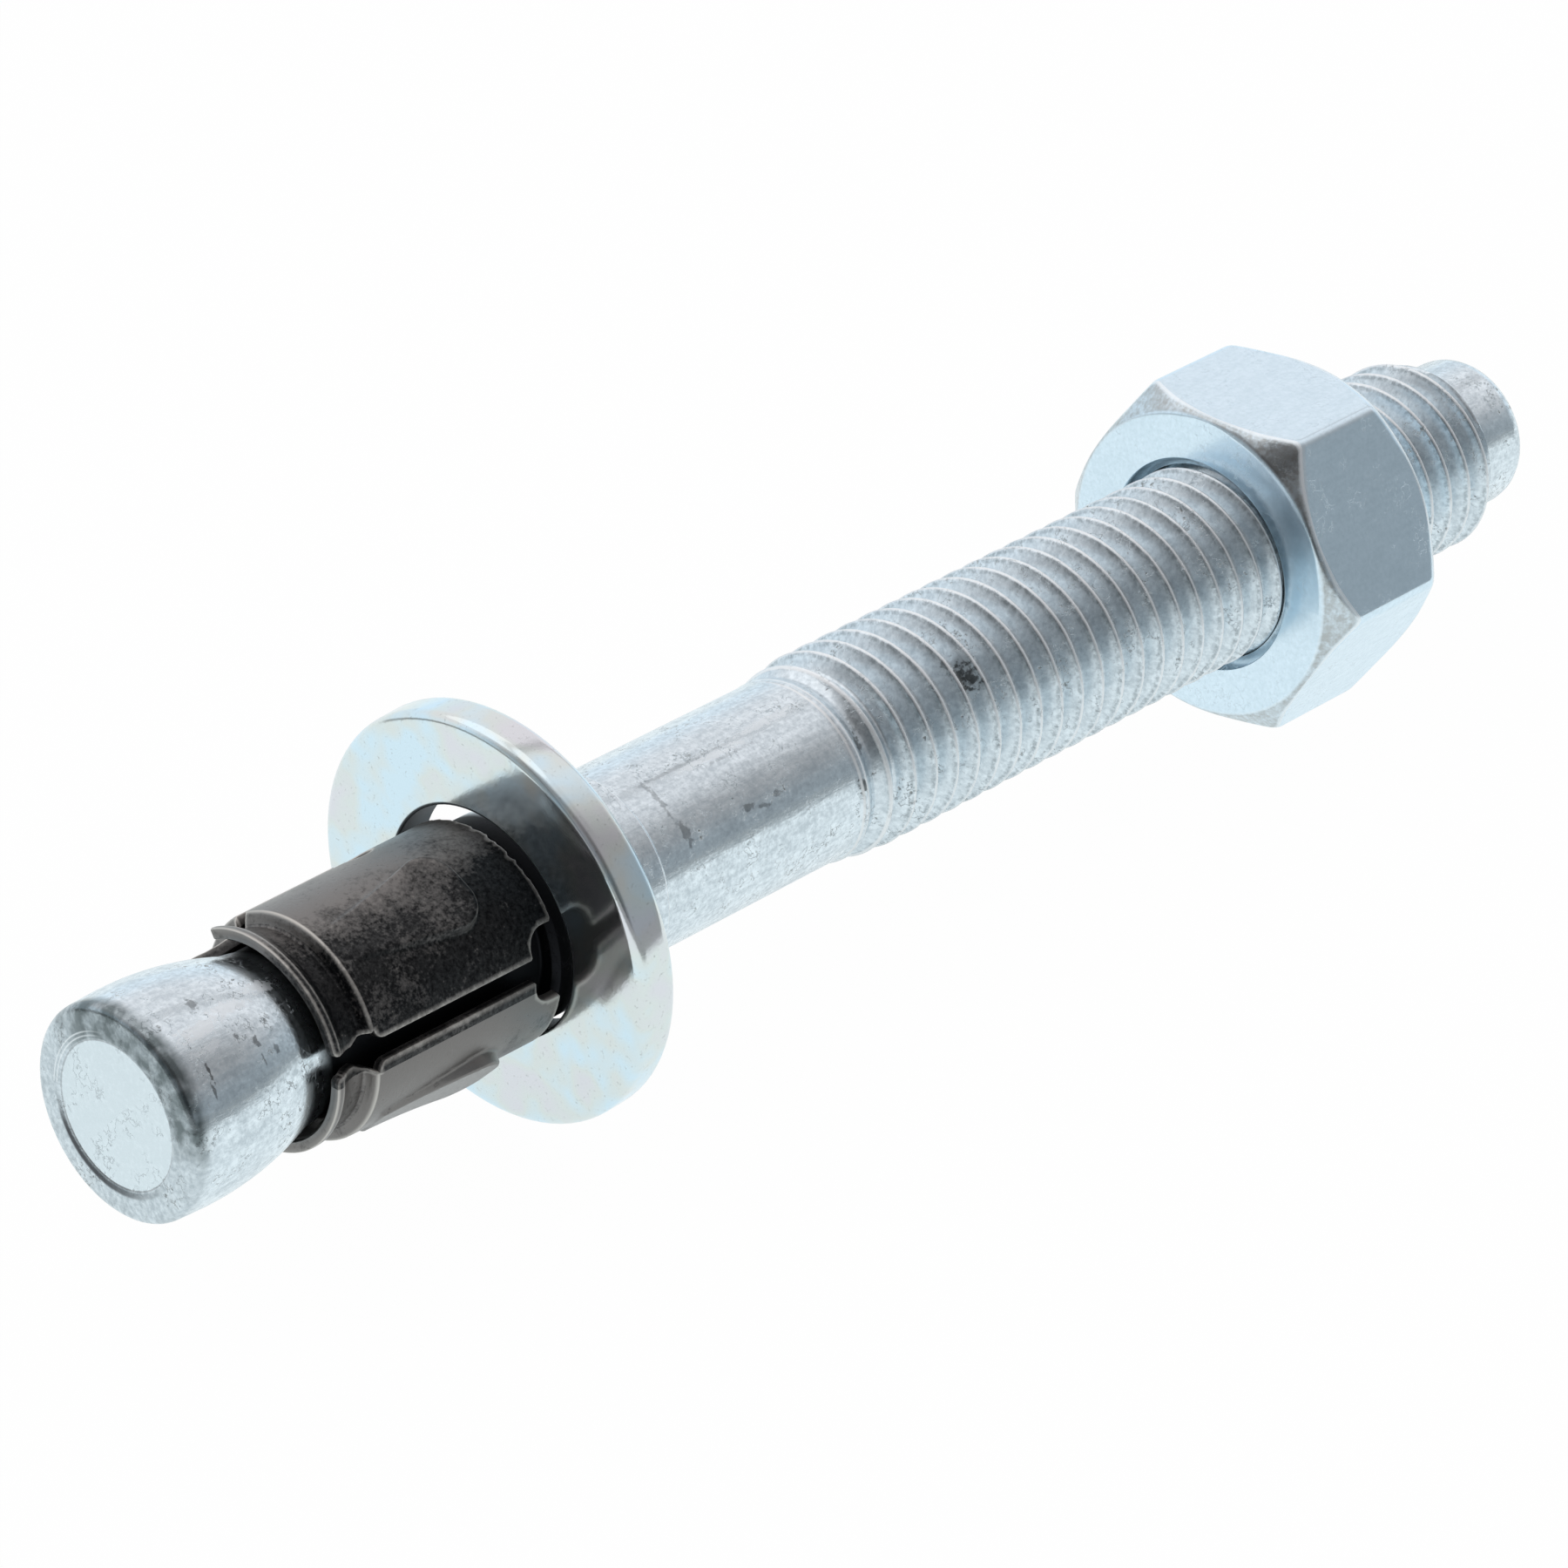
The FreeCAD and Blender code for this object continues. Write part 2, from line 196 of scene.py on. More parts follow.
columns = 96
thread_pitch = 1.75
crest_radius = 5.95
root_radius = 4.877
shank_radius = 5.425
collar_radius = 5.85
collar_front = 25.7
collar_rear = 34.6
neck_radius = 4.75
point_radius = 4.597
thread_start = 49.4
thread_run_up = 3.6
thread_end = 105.9
stud_length = 110.0
head_radius = 6.15
head_widest_at = 2.7
head_bulge = 20.0
head_bulge_end = 9.4
tip_disc_radius = 4.1
tip_disc_depth = 0.07
tip_rings_at = 4.51
tip_rings_half = 0.17
tip_ring_apart = 0.22
first_crest = 45.85
half_crest_per_pitch = 0.025


def softened(corners, steps=5):
    """An outline of (x, radius, rounding) corners, with an arc drawn in place of each rounded one."""
    outline = []
    for number, (x, radius, rounding) in enumerate(corners):
        here = Vector((x, radius))
        if rounding == 0 or number in (0, len(corners) - 1):
            outline.append((x, radius))
            continue
        back = Vector(corners[number - 1][:2]) - here
        on = Vector(corners[number + 1][:2]) - here
        half = back.angle(on) / 2
        off = min(rounding / math.tan(half), 0.48 * back.length, 0.48 * on.length)
        fitting = off * math.tan(half)
        back.normalize()
        on.normalize()
        centre = here + (back + on).normalized() * (fitting / math.sin(half))
        first = here + back * off - centre
        last = here + on * off - centre
        whole = first.angle_signed(last)
        for step in range(steps + 1):
            spot = centre + Matrix.Rotation(-whole * step / steps, 2) @ first
            outline.append((spot.x, spot.y))
    return outline


def turn_outline(mesh, outline):
    """Adds the skin of an outline turned round the X axis. An end on the axis is closed by a pole."""
    rings = []
    for x, radius in outline:
        if radius < 1e-6:
            rings.append([mesh.verts.new((x, 0, 0))])
        else:
            rings.append([
                mesh.verts.new((
                    x,
                    radius * math.cos(2 * math.pi * column / columns),
                    radius * math.sin(2 * math.pi * column / columns)))
                for column in range(columns)])
    for before, after in zip(rings, rings[1:]):
        for column in range(columns):
            beside = (column + 1) % columns
            corners = [
                before[column % len(before)], before[beside % len(before)],
                after[beside % len(after)], after[column % len(after)]]
            mesh.faces.new(dict.fromkeys(corners))


def finish_piece(mesh, name, material, placing, crisp_over=180):
    """Closes a bmesh drawn in millimetres, places it and makes it an object, smooth up to crisp edges."""
    bmesh.ops.remove_doubles(mesh, verts=mesh.verts, dist=0.001)
    bmesh.ops.recalc_face_normals(mesh, faces=mesh.faces)
    mesh.transform(placing)
    for face in mesh.faces:
        face.smooth = True
    for edge in mesh.edges:
        edge.smooth = edge.calc_face_angle(0) < math.radians(crisp_over)
    data = bpy.data.meshes.new(name)
    mesh.to_mesh(data)
    mesh.free()
    data.materials.clear()
    data.materials.append(material)
    piece = bpy.data.objects.new(name, data)
    bpy.context.collection.objects.link(piece)
    return piece


def stud_millimetres(tree):
    """Object coordinates turned into millimetres along and round the stud, from its tip."""
    turn_back = Matrix.Rotation(-stud_tilt, 3, "Y")
    return add(tree, "ShaderNodeMapping", {"vector_type": "POINT"}, {
        "Vector": add(tree, "ShaderNodeTexCoord").outputs["Object"],
        "Location": -(turn_back @ (stud_tip * 1000)),
        "Rotation": (0, -stud_tilt, 0),
        "Scale": (1000, 1000, 1000)})


# Barrel zinc plating with a faint blue passivation: a satin skin over rough forged steel, so its gloss
# breaks up into grains. Pits and short scratches stay dark, and lengthwise streaks come from drawing

def zinc_plating(name, pale, grey, gloss, rough, grain_height, streak_height, pits):
    """A zinc-plated steel: its material, tree, shader, grain and stud coordinates, for a piece's marks."""
    material = bpy.data.materials.new(name)
    tree = blank(material)
    spot = stud_millimetres(tree)
    cloud = add(tree, "ShaderNodeTexNoise", None, {"Vector": spot, "Scale": 0.55, "Detail": 3.0})
    grain = add(tree, "ShaderNodeTexNoise", None, {
        "Vector": spot, "Scale": 3.2, "Detail": 5.0, "Roughness": 0.62})
    stretched = add(tree, "ShaderNodeMapping", {"vector_type": "POINT"}, {
        "Vector": spot, "Scale": (0.5, 3.2, 3.2)})
    streak = add(tree, "ShaderNodeTexNoise", None, {
        "Vector": stretched, "Scale": 1.0, "Detail": 3.0, "Roughness": 0.6, "Distortion": 0.4})

    # The skin is pale with grey grains, and greyer where the clouds and streaks are low
    mottle = add(tree, "ShaderNodeMath", {"operation": "MULTIPLY_ADD"}, {
        0: streak.outputs["Fac"], 1: 0.5, 2: grain.outputs["Fac"]})
    mottle = add(tree, "ShaderNodeMath", {"operation": "MULTIPLY_ADD"}, {
        0: cloud.outputs["Fac"], 1: 0.5, 2: mottle})
    shade = add(tree, "ShaderNodeMapRange", None, {"Value": mottle, "From Min": 0.78, "From Max": 1.18})
    tone = add(tree, "ShaderNodeMix", {"data_type": "RGBA"}, {
        "Factor": shade, "A": paint(grey), "B": paint(pale)})

    # Pits and short curved dents, 0.1 to 0.3 mm wide, gather in clouds
    shaken = add(tree, "ShaderNodeVectorMath", {"operation": "MULTIPLY_ADD"}, {
        0: grain.outputs["Color"], 1: (0.6, 0.6, 0.6), 2: spot})
    cells = add(tree, "ShaderNodeTexVoronoi", None, {"Vector": shaken, "Scale": 2.1, "Randomness": 1.0})
    pit_size = add(tree, "ShaderNodeMapRange", None, {
        "Value": cloud.outputs["Fac"], "From Min": 0.46, "From Max": 0.66, "To Min": -0.05, "To Max": pits})
    pit_depth = add(tree, "ShaderNodeMath", {"operation": "SUBTRACT"}, {
        0: pit_size, 1: cells.outputs["Distance"]})
    pit = add(tree, "ShaderNodeMapRange", None, {
        "Value": pit_depth, "From Min": 0.0, "From Max": 0.2, "To Min": 0.0, "To Max": 0.75})
    bent = add(tree, "ShaderNodeTexNoise", None, {
        "Vector": spot, "Scale": 1.5, "Detail": 4.0, "Roughness": 0.55})
    off_dent = add(tree, "ShaderNodeMath", {"operation": "SUBTRACT"}, {0: bent.outputs["Fac"], 1: 0.55})
    off_dent = add(tree, "ShaderNodeMath", {"operation": "ABSOLUTE"}, {0: off_dent})
    dent = add(tree, "ShaderNodeMapRange", None, {
        "Value": off_dent, "From Min": 0.003, "From Max": 0.014, "To Min": 1.0, "To Max": 0.0})
    dented = add(tree, "ShaderNodeMapRange", None, {
        "Value": cloud.outputs["Fac"], "From Min": 0.5, "From Max": 0.6,
        "To Min": 0.0, "To Max": pits * 1.6})
    dent = add(tree, "ShaderNodeMath", {"operation": "MULTIPLY"}, {0: dent, 1: dented})
    pit = add(tree, "ShaderNodeMath", {"operation": "MAXIMUM"}, {0: pit, 1: dent})
    pitted = add(tree, "ShaderNodeMix", {"data_type": "RGBA"}, {
        "Factor": pit, "A": tone.outputs["Result"], "B": paint("#77756F")})

    sheen = add(tree, "ShaderNodeMapRange", None, {
        "Value": mottle, "From Min": 0.85, "From Max": 1.2, "To Min": rough, "To Max": gloss})
    coarse = add(tree, "ShaderNodeBump", None, {
        "Height": streak.outputs["Fac"], "Strength": 1.0, "Distance": streak_height / 1000})
    fine = add(tree, "ShaderNodeBump", None, {
        "Height": grain.outputs["Fac"], "Strength": 1.0, "Distance": grain_height / 1000, "Normal": coarse})
    dents = add(tree, "ShaderNodeBump", {"invert": True}, {
        "Height": pit, "Strength": 1.0, "Distance": 0.00003, "Normal": fine})
    zinc = add(tree, "ShaderNodeBsdfPrincipled", None, {
        "Base Color": pitted.outputs["Result"], "Metallic": 1.0, "Roughness": sheen, "Normal": dents})
    add(tree, "ShaderNodeOutputMaterial", None, {"Surface": zinc})
    return material, tree, zinc, grain, mottle, spot


stud_zinc, tree, zinc, grain, _, spot = zinc_plating(
    "barrel zinc-plated steel", "#ECF5FA", "#C9D3D9", 0.12, 0.26, 0.008, 0.01, 0.3)
plain_skin = zinc.inputs["Base Color"].links[0].from_socket

# Where painted highlights run in bright bands along the top of the head and shank, and where head, shank
# and thread are nicked or stained: (x, half length, turn, half turn, strength). The turn runs in degrees
# round the stud from +Y over the top
painted_highlight_bands = [
    (2.9, 1.5, 120.5, 4.6, 0.9),
    (5.3, 1.5, 116.0, 4.2, 0.9),
    (8.0, 1.5, 110.0, 4.6, 0.8),
    (2.6, 1.0, 130.0, 3.0, 0.6),
    (46.5, 2.6, 104.0, 3.2, 0.6),
    (41.5, 3.0, 109.0, 2.6, 0.6),
]
stud_marks = [
    (41.7, 0.5, 145.5, 2.2, 0.5),
    (42.8, 0.5, 149.0, 1.8, 0.45),
    (43.8, 0.4, 146.0, 2.0, 0.4),
    (36.6, 0.2, 118.0, 16.0, 0.35),
    (37.0, 0.3, 143.0, 8.0, 0.4),
    (59.6, 0.9, 136.0, 10.0, 0.75),
    (58.9, 0.5, 126.0, 7.0, 0.45),
    (54.3, 0.35, 227.6, 3.0, 0.7),
    (50.0, 0.3, 166.0, 5.0, 0.75),
    (50.7, 0.3, 142.0, 7.0, 0.6),
    (51.1, 0.25, 128.0, 8.0, 0.3),
    (2.1, 0.1, 141.5, 6.0, 0.75),
    (1.9, 0.1, 149.5, 5.0, 0.6),
    (5.6, 0.1, 147.0, 4.0, 0.5),
    (3.7, 0.35, 106.0, 4.0, 0.5),
    (4.6, 0.2, 131.0, 3.0, 0.6),
    (5.6, 0.25, 137.0, 3.0, 0.6),
    (6.7, 0.2, 144.0, 3.0, 0.5),
    (39.0, 3.4, 105.5, 1.4, 0.2),
    (42.5, 2.0, 113.0, 1.4, 0.18),
]
turned_place = add(tree, "ShaderNodeSeparateXYZ", None, {0: spot})
bearing = add(tree, "ShaderNodeMath", {"operation": "ARCTAN2"}, {
    0: turned_place.outputs["Z"], 1: turned_place.outputs["Y"]})
bearing = add(tree, "ShaderNodeMath", {"operation": "WRAP"}, {0: bearing, 1: 2 * math.pi, 2: 0.0})


def marked(marks, ragged_by):
    """How far each spot of the stud lies in one of the marks, whose outlines the grain makes ragged."""
    share = 0.0
    for x, half_length, turn, half_turn, strength in marks:
        off_x = add(tree, "ShaderNodeMath", {"operation": "MULTIPLY_ADD"}, {
            0: turned_place.outputs["X"], 1: 1 / half_length, 2: -x / half_length})
        off_turn = add(tree, "ShaderNodeMath", {"operation": "MULTIPLY_ADD"}, {
            0: bearing, 1: math.degrees(1) / half_turn, 2: -turn / half_turn})
        off = add(tree, "ShaderNodeVectorMath", {"operation": "LENGTH"}, {
            0: add(tree, "ShaderNodeCombineXYZ", None, {"X": off_x, "Y": off_turn})})
        ragged = add(tree, "ShaderNodeMath", {"operation": "MULTIPLY_ADD"}, {
            0: grain.outputs["Fac"], 1: ragged_by, 2: off.outputs["Value"]})
        mark = add(tree, "ShaderNodeMapRange", None, {
            "Value": ragged, "From Min": 1.0 + ragged_by / 2, "From Max": 0.6 + ragged_by / 2,
            "To Min": 0.0, "To Max": strength})
        share = add(tree, "ShaderNodeMath", {"operation": "MAXIMUM"}, {0: mark, 1: share})
    return share


stains_and_painted_light = add(tree, "ShaderNodeMix", {"data_type": "RGBA"}, {
    "Factor": marked(stud_marks, 3.0), "A": plain_skin, "B": paint("#3E3C39")})
# Painted highlights: near-white bands along the top of the head and shank
highlight_share = marked(painted_highlight_bands, 3.6)
stains_and_painted_light = add(tree, "ShaderNodeMix", {"data_type": "RGBA"}, {
    "Factor": highlight_share, "A": stains_and_painted_light.outputs["Result"], "B": paint("#F6FBFE")})

# The tip's disc was coined smooth. The ring round it kept the forge's dark skin, and on its upper half it
# is painted darker still, as a painted reflection of the dark cloth. On its lower half the ring is darker
# in its inner corner
off_axis = add(tree, "ShaderNodeVectorMath", {"operation": "LENGTH"}, {
    0: add(tree, "ShaderNodeCombineXYZ", None, {
        "Y": turned_place.outputs["Y"], "Z": turned_place.outputs["Z"]})})
on_tip = add(tree, "ShaderNodeMapRange", None, {
    "Value": turned_place.outputs["X"], "From Min": 1.2, "From Max": 0.5})
on_disc = add(tree, "ShaderNodeMapRange", None, {
    "Value": off_axis.outputs["Value"], "From Min": tip_disc_radius, "From Max": tip_disc_radius - 0.07})
on_disc = add(tree, "ShaderNodeMath", {"operation": "MULTIPLY"}, {0: on_disc, 1: on_tip})
coined = add(tree, "ShaderNodeMapRange", None, {
    "Value": grain.outputs["Fac"], "From Min": 0.4, "From Max": 0.65, "To Min": 0.88, "To Max": 0.6})
coined = add(tree, "ShaderNodeMath", {"operation": "MULTIPLY"}, {0: coined, 1: on_disc})
stains_and_painted_light = add(tree, "ShaderNodeMix", {"data_type": "RGBA"}, {
    "Factor": coined, "A": stains_and_painted_light.outputs["Result"], "B": paint("#E3EDF1")})
outside_disc = add(tree, "ShaderNodeMapRange", None, {
    "Value": off_axis.outputs["Value"], "From Min": tip_disc_radius, "From Max": tip_disc_radius + 0.15})
upper_from = add(tree, "ShaderNodeMapRange", {"interpolation_type": "SMOOTHSTEP"}, {
    "Value": bearing, "From Min": math.radians(15), "From Max": math.radians(75)})
upper_to = add(tree, "ShaderNodeMapRange", {"interpolation_type": "SMOOTHSTEP"}, {
    "Value": bearing, "From Min": math.radians(195), "From Max": math.radians(160)})
upper = add(tree, "ShaderNodeMath", {"operation": "MULTIPLY"}, {0: upper_from, 1: upper_to})
waver = add(tree, "ShaderNodeTexNoise", None, {"Vector": spot, "Scale": 0.9, "Detail": 3.0})
blotch = add(tree, "ShaderNodeMapRange", None, {
    "Value": waver.outputs["Fac"], "From Min": 0.38, "From Max": 0.6, "To Min": 1.1, "To Max": 0.6})
# Painted reflection: the ring is darker on its upper half, over the dark forge skin it has all round
forge_skin_and_dark_reflection = add(tree, "ShaderNodeMapRange", None, {"Value": upper, "To Min": 0.26, "To Max": 1.0})
for share in (outside_disc, on_tip, blotch):
    forge_skin_and_dark_reflection = add(tree, "ShaderNodeMath", {"operation": "MULTIPLY"}, {0: forge_skin_and_dark_reflection, 1: share})
stains_and_painted_light = add(tree, "ShaderNodeMix", {"data_type": "RGBA"}, {
    "Factor": forge_skin_and_dark_reflection, "A": stains_and_painted_light.outputs["Result"], "B": paint("#727B7D")})
lower_from = add(tree, "ShaderNodeMapRange", {"interpolation_type": "SMOOTHSTEP"}, {
    "Value": bearing, "From Min": math.radians(200), "From Max": math.radians(290)})
lower_to = add(tree, "ShaderNodeMapRange", {"interpolation_type": "SMOOTHSTEP"}, {
    "Value": bearing, "From Min": math.radians(359), "From Max": math.radians(325)})
lower = add(tree, "ShaderNodeMath", {"operation": "MULTIPLY"}, {0: lower_from, 1: lower_to})
# The ring is painted darker in its inner corner, on its lower half only
for corner_at, corner_half, least, most, corner_tone in (
        (tip_disc_radius + 0.3, 0.24, 0.0, 0.95, "#3F4044"),
        (tip_disc_radius + 0.04, 0.06, 0.35, 0.6, "#6B6663")):
    off_corner = add(tree, "ShaderNodeMath", {"operation": "SUBTRACT"}, {
        0: off_axis.outputs["Value"], 1: corner_at})
    off_corner = add(tree, "ShaderNodeMath", {"operation": "ABSOLUTE"}, {0: off_corner})
    in_corner = add(tree, "ShaderNodeMapRange", None, {
        "Value": off_corner, "From Min": corner_half, "From Max": 0.4 * corner_half})
    corner_darkening = add(tree, "ShaderNodeMapRange", None, {"Value": lower, "To Min": least, "To Max": most})
    for share in (in_corner, on_tip):
        corner_darkening = add(tree, "ShaderNodeMath", {"operation": "MULTIPLY"}, {0: corner_darkening, 1: share})
    stains_and_painted_light = add(tree, "ShaderNodeMix", {"data_type": "RGBA"}, {
        "Factor": corner_darkening, "A": stains_and_painted_light.outputs["Result"], "B": paint(corner_tone)})

# The die left two fine bright rings outside the disc, clear on its lower near side
off_ring = add(tree, "ShaderNodeMath", {"operation": "PINGPONG"}, {
    0: off_axis.outputs["Value"], 1: tip_ring_apart / 2})
ring_line = add(tree, "ShaderNodeMapRange", None, {
    "Value": off_ring, "From Min": 0.02, "From Max": 0.06, "To Min": 0.6, "To Max": 0.0})
near_ring = add(tree, "ShaderNodeMath", {"operation": "COMPARE"}, {
    0: off_axis.outputs["Value"], 1: tip_rings_at, 2: tip_rings_half})
ring_from = add(tree, "ShaderNodeMapRange", {"interpolation_type": "SMOOTHSTEP"}, {
    "Value": bearing, "From Min": math.radians(85), "From Max": math.radians(45)})
for share in (near_ring, ring_from, on_tip):
    ring_line = add(tree, "ShaderNodeMath", {"operation": "MULTIPLY"}, {0: ring_line, 1: share})
stains_and_painted_light = add(tree, "ShaderNodeMix", {"data_type": "RGBA"}, {
    "Factor": ring_line, "A": stains_and_painted_light.outputs["Result"], "B": paint("#F4F8FA")})

# Painted shade: the neck is painted black under the clip, fading out under the washer
under_clip_shade_from = add(tree, "ShaderNodeMapRange", None, {
    "Value": turned_place.outputs["X"], "From Min": 9.5, "From Max": 10.6})
under_clip_shade_to = add(tree, "ShaderNodeMapRange", None, {
    "Value": turned_place.outputs["X"], "From Min": 28.6, "From Max": 27.4})
under_clip_shade = add(tree, "ShaderNodeMath", {"operation": "MULTIPLY"}, {0: under_clip_shade_from, 1: under_clip_shade_to})
stains_and_painted_light = add(tree, "ShaderNodeMix", {"data_type": "RGBA"}, {
    "Factor": under_clip_shade, "A": stains_and_painted_light.outputs["Result"], "B": paint("#2A2B2E")})

# Each crest of the thread is rubbed to a pale dull line, which runs double where the thread begins. The
# phase counts pitches along the helix, and noise lets the line waver
line_waver = 0.06
crest_at_phase = 0.5 + line_waver / 2
# How far the painted shade line beside each crest lies from it, in pitches
shade_off_crest = 0.085
double_apart = 0.11
crest_phase = add(tree, "ShaderNodeMath", {"operation": "MULTIPLY_ADD"}, {
    0: turned_place.outputs["X"], 1: 1 / thread_pitch,
    2: 0.5 + half_crest_per_pitch - first_crest / thread_pitch})
crest_phase = add(tree, "ShaderNodeMath", {"operation": "MULTIPLY_ADD"}, {
    0: bearing, 1: -1 / (2 * math.pi), 2: crest_phase})
crest_phase = add(tree, "ShaderNodeMath", {"operation": "MULTIPLY_ADD"}, {
    0: waver.outputs["Fac"], 1: line_waver, 2: crest_phase})
off_crest = add(tree, "ShaderNodeMath", {"operation": "FRACT"}, {0: crest_phase})
off_crest = add(tree, "ShaderNodeMath", {"operation": "SUBTRACT"}, {
    0: off_crest, 1: crest_at_phase})
beside_crest = add(tree, "ShaderNodeMath", {"operation": "ADD"}, {
    0: off_crest, 1: shade_off_crest})
beside_crest = add(tree, "ShaderNodeMath", {"operation": "ABSOLUTE"}, {0: beside_crest})
off_crest = add(tree, "ShaderNodeMath", {"operation": "ABSOLUTE"}, {0: off_crest})
double = add(tree, "ShaderNodeMapRange", None, {
    "Value": turned_place.outputs["X"], "From Min": thread_start + 0.4, "From Max": thread_start + 4.0,
    "To Min": double_apart, "To Max": 0.0})
off_line = add(tree, "ShaderNodeMath", {"operation": "SUBTRACT"}, {0: off_crest, 1: double})
off_line = add(tree, "ShaderNodeMath", {"operation": "ABSOLUTE"}, {0: off_line})
line = add(tree, "ShaderNodeMapRange", None, {
    "Value": off_line, "From Min": 0.025, "From Max": 0.06, "To Min": 0.9, "To Max": 0.0})
line_from = add(tree, "ShaderNodeMapRange", None, {
    "Value": turned_place.outputs["X"], "From Min": thread_start, "From Max": thread_start + 0.2})
line_to = add(tree, "ShaderNodeMapRange", None, {
    "Value": turned_place.outputs["X"], "From Min": thread_end, "From Max": thread_end - 0.3})
for share in (line_from, line_to):
    line = add(tree, "ShaderNodeMath", {"operation": "MULTIPLY"}, {0: line, 1: share})

# A painted shade line, broken into patches, runs beside each crest line on the side towards the head
crest_shade_depth = add(tree, "ShaderNodeMapRange", None, {
    "Value": grain.outputs["Fac"], "From Min": 0.4, "From Max": 0.6, "To Min": 0.36, "To Max": 0.06})
crest_shade_line = add(tree, "ShaderNodeMapRange", None, {
    "Value": beside_crest, "From Min": 0.02, "From Max": 0.055, "To Min": crest_shade_depth, "To Max": 0.0})
for share in (line_from, line_to):
    crest_shade_line = add(tree, "ShaderNodeMath", {"operation": "MULTIPLY"}, {0: crest_shade_line, 1: share})
stains_and_painted_light = add(tree, "ShaderNodeMix", {"data_type": "RGBA"}, {
    "Factor": crest_shade_line, "A": stains_and_painted_light.outputs["Result"], "B": paint("#6E7678")})
rubbed_and_painted_light = add(tree, "ShaderNodeMix", {"data_type": "RGBA"}, {
    "Factor": line, "A": stains_and_painted_light.outputs["Result"], "B": paint("#FAFCFD")})

# The collar's rear edge is rubbed in the same way
off_edge = add(tree, "ShaderNodeMath", {"operation": "SUBTRACT"}, {
    0: turned_place.outputs["X"], 1: collar_rear - 0.3})
off_edge = add(tree, "ShaderNodeMath", {"operation": "ABSOLUTE"}, {0: off_edge})
edge_line = add(tree, "ShaderNodeMapRange", None, {
    "Value": off_edge, "From Min": 0.14, "From Max": 0.05, "To Min": 0.0, "To Max": 0.85})
rubbed_and_painted_light = add(tree, "ShaderNodeMix", {"data_type": "RGBA"}, {
    "Factor": edge_line, "A": rubbed_and_painted_light.outputs["Result"], "B": paint("#FAFCFD")})
tree.links.new(rubbed_and_painted_light.outputs["Result"], zinc.inputs["Base Color"])

# The rolled flanks are duller than the drawn shank, and the rubbed lines and the neck under the clip
# dullest
plain_sheen = zinc.inputs["Roughness"].links[0].from_socket
on_thread = add(tree, "ShaderNodeMath", {"operation": "MULTIPLY"}, {0: line_from, 1: line_to})
dulled = add(tree, "ShaderNodeMix", {"data_type": "FLOAT"}, {
    "Factor": on_thread, "A": plain_sheen, "B": 0.3})
for share, roughness in ((highlight_share, 0.45), (line, 0.55), (edge_line, 0.5), (under_clip_shade, 0.6), (on_disc, 0.3)):
    dulled = add(tree, "ShaderNodeMix", {"data_type": "FLOAT"}, {
        "Factor": share, "A": dulled, "B": roughness})
tree.links.new(dulled.outputs[0], zinc.inputs["Roughness"])

# The thread follows a rule: a grid whose rows run along the helix, with the profile repeated every pitch
rows_per_pitch = 20
turns_drawn = 36
flank_from_root = 0.22
flank_to_crest = 0.94
thread_tree = bpy.data.node_groups.new("rolled thread", "GeometryNodeTree")
thread_tree.interface.new_socket(name="Geometry", in_out="OUTPUT", socket_type="NodeSocketGeometry")
thread_sizes = {
    "Pitch": thread_pitch,
    "First crest": first_crest,
    "Turns": turns_drawn,
    "Start": thread_start,
    "Run-up": thread_run_up,
    "End": thread_end,
    "Shank radius": shank_radius,
    "Root radius": root_radius,
    "Crest radius": crest_radius,
}
thread_sockets = {
    name: thread_tree.interface.new_socket(name=name, in_out="INPUT", socket_type="NodeSocketFloat")
    for name in thread_sizes}
size = add(thread_tree, "NodeGroupInput").outputs
grid = add(thread_tree, "GeometryNodeMeshGrid", None, {
    "Size X": 1.0, "Size Y": 1.0, "Vertices X": columns + 1,
    "Vertices Y": rows_per_pitch * turns_drawn + 1})
place = add(thread_tree, "ShaderNodeSeparateXYZ", None, {0: add(thread_tree, "GeometryNodeInputPosition")})
turn = add(thread_tree, "ShaderNodeMath", {"operation": "ADD"}, {0: place.outputs["X"], 1: 0.5})
row_share = add(thread_tree, "ShaderNodeMath", {"operation": "ADD"}, {0: place.outputs["Y"], 1: 0.5})
row_turns = add(thread_tree, "ShaderNodeMath", {"operation": "MULTIPLY"}, {0: row_share, 1: size["Turns"]})
both_turns = add(thread_tree, "ShaderNodeMath", {"operation": "ADD"}, {0: row_turns, 1: turn})
along = add(thread_tree, "ShaderNodeMath", {"operation": "MULTIPLY_ADD"}, {
    0: both_turns, 1: size["Pitch"], 2: size["First crest"]})
in_pitch = add(thread_tree, "ShaderNodeMath", {"operation": "ADD"}, {0: row_turns, 1: half_crest_per_pitch})
in_pitch = add(thread_tree, "ShaderNodeMath", {"operation": "FRACT"}, {0: in_pitch})
from_root = add(thread_tree, "ShaderNodeMath", {"operation": "MULTIPLY_ADD"}, {
    0: in_pitch, 1: 2.0, 2: -1.0})
from_root = add(thread_tree, "ShaderNodeMath", {"operation": "ABSOLUTE"}, {0: from_root})
rise = add(thread_tree, "ShaderNodeMapRange", None, {
    "Value": from_root, "From Min": flank_from_root, "From Max": flank_to_crest,
    "To Min": size["Root radius"], "To Max": size["Crest radius"]})
run_up_end = add(thread_tree, "ShaderNodeMath", {"operation": "ADD"}, {0: size["Start"], 1: size["Run-up"]})
radius = add(thread_tree, "ShaderNodeMapRange", None, {
    "Value": along, "From Min": size["Start"], "From Max": run_up_end,
    "To Min": size["Shank radius"], "To Max": rise})
to_end = add(thread_tree, "ShaderNodeMath", {"operation": "SUBTRACT"}, {0: size["End"], 1: along})
taper = add(thread_tree, "ShaderNodeMath", {"operation": "ADD"}, {0: to_end, 1: size["Root radius"]})
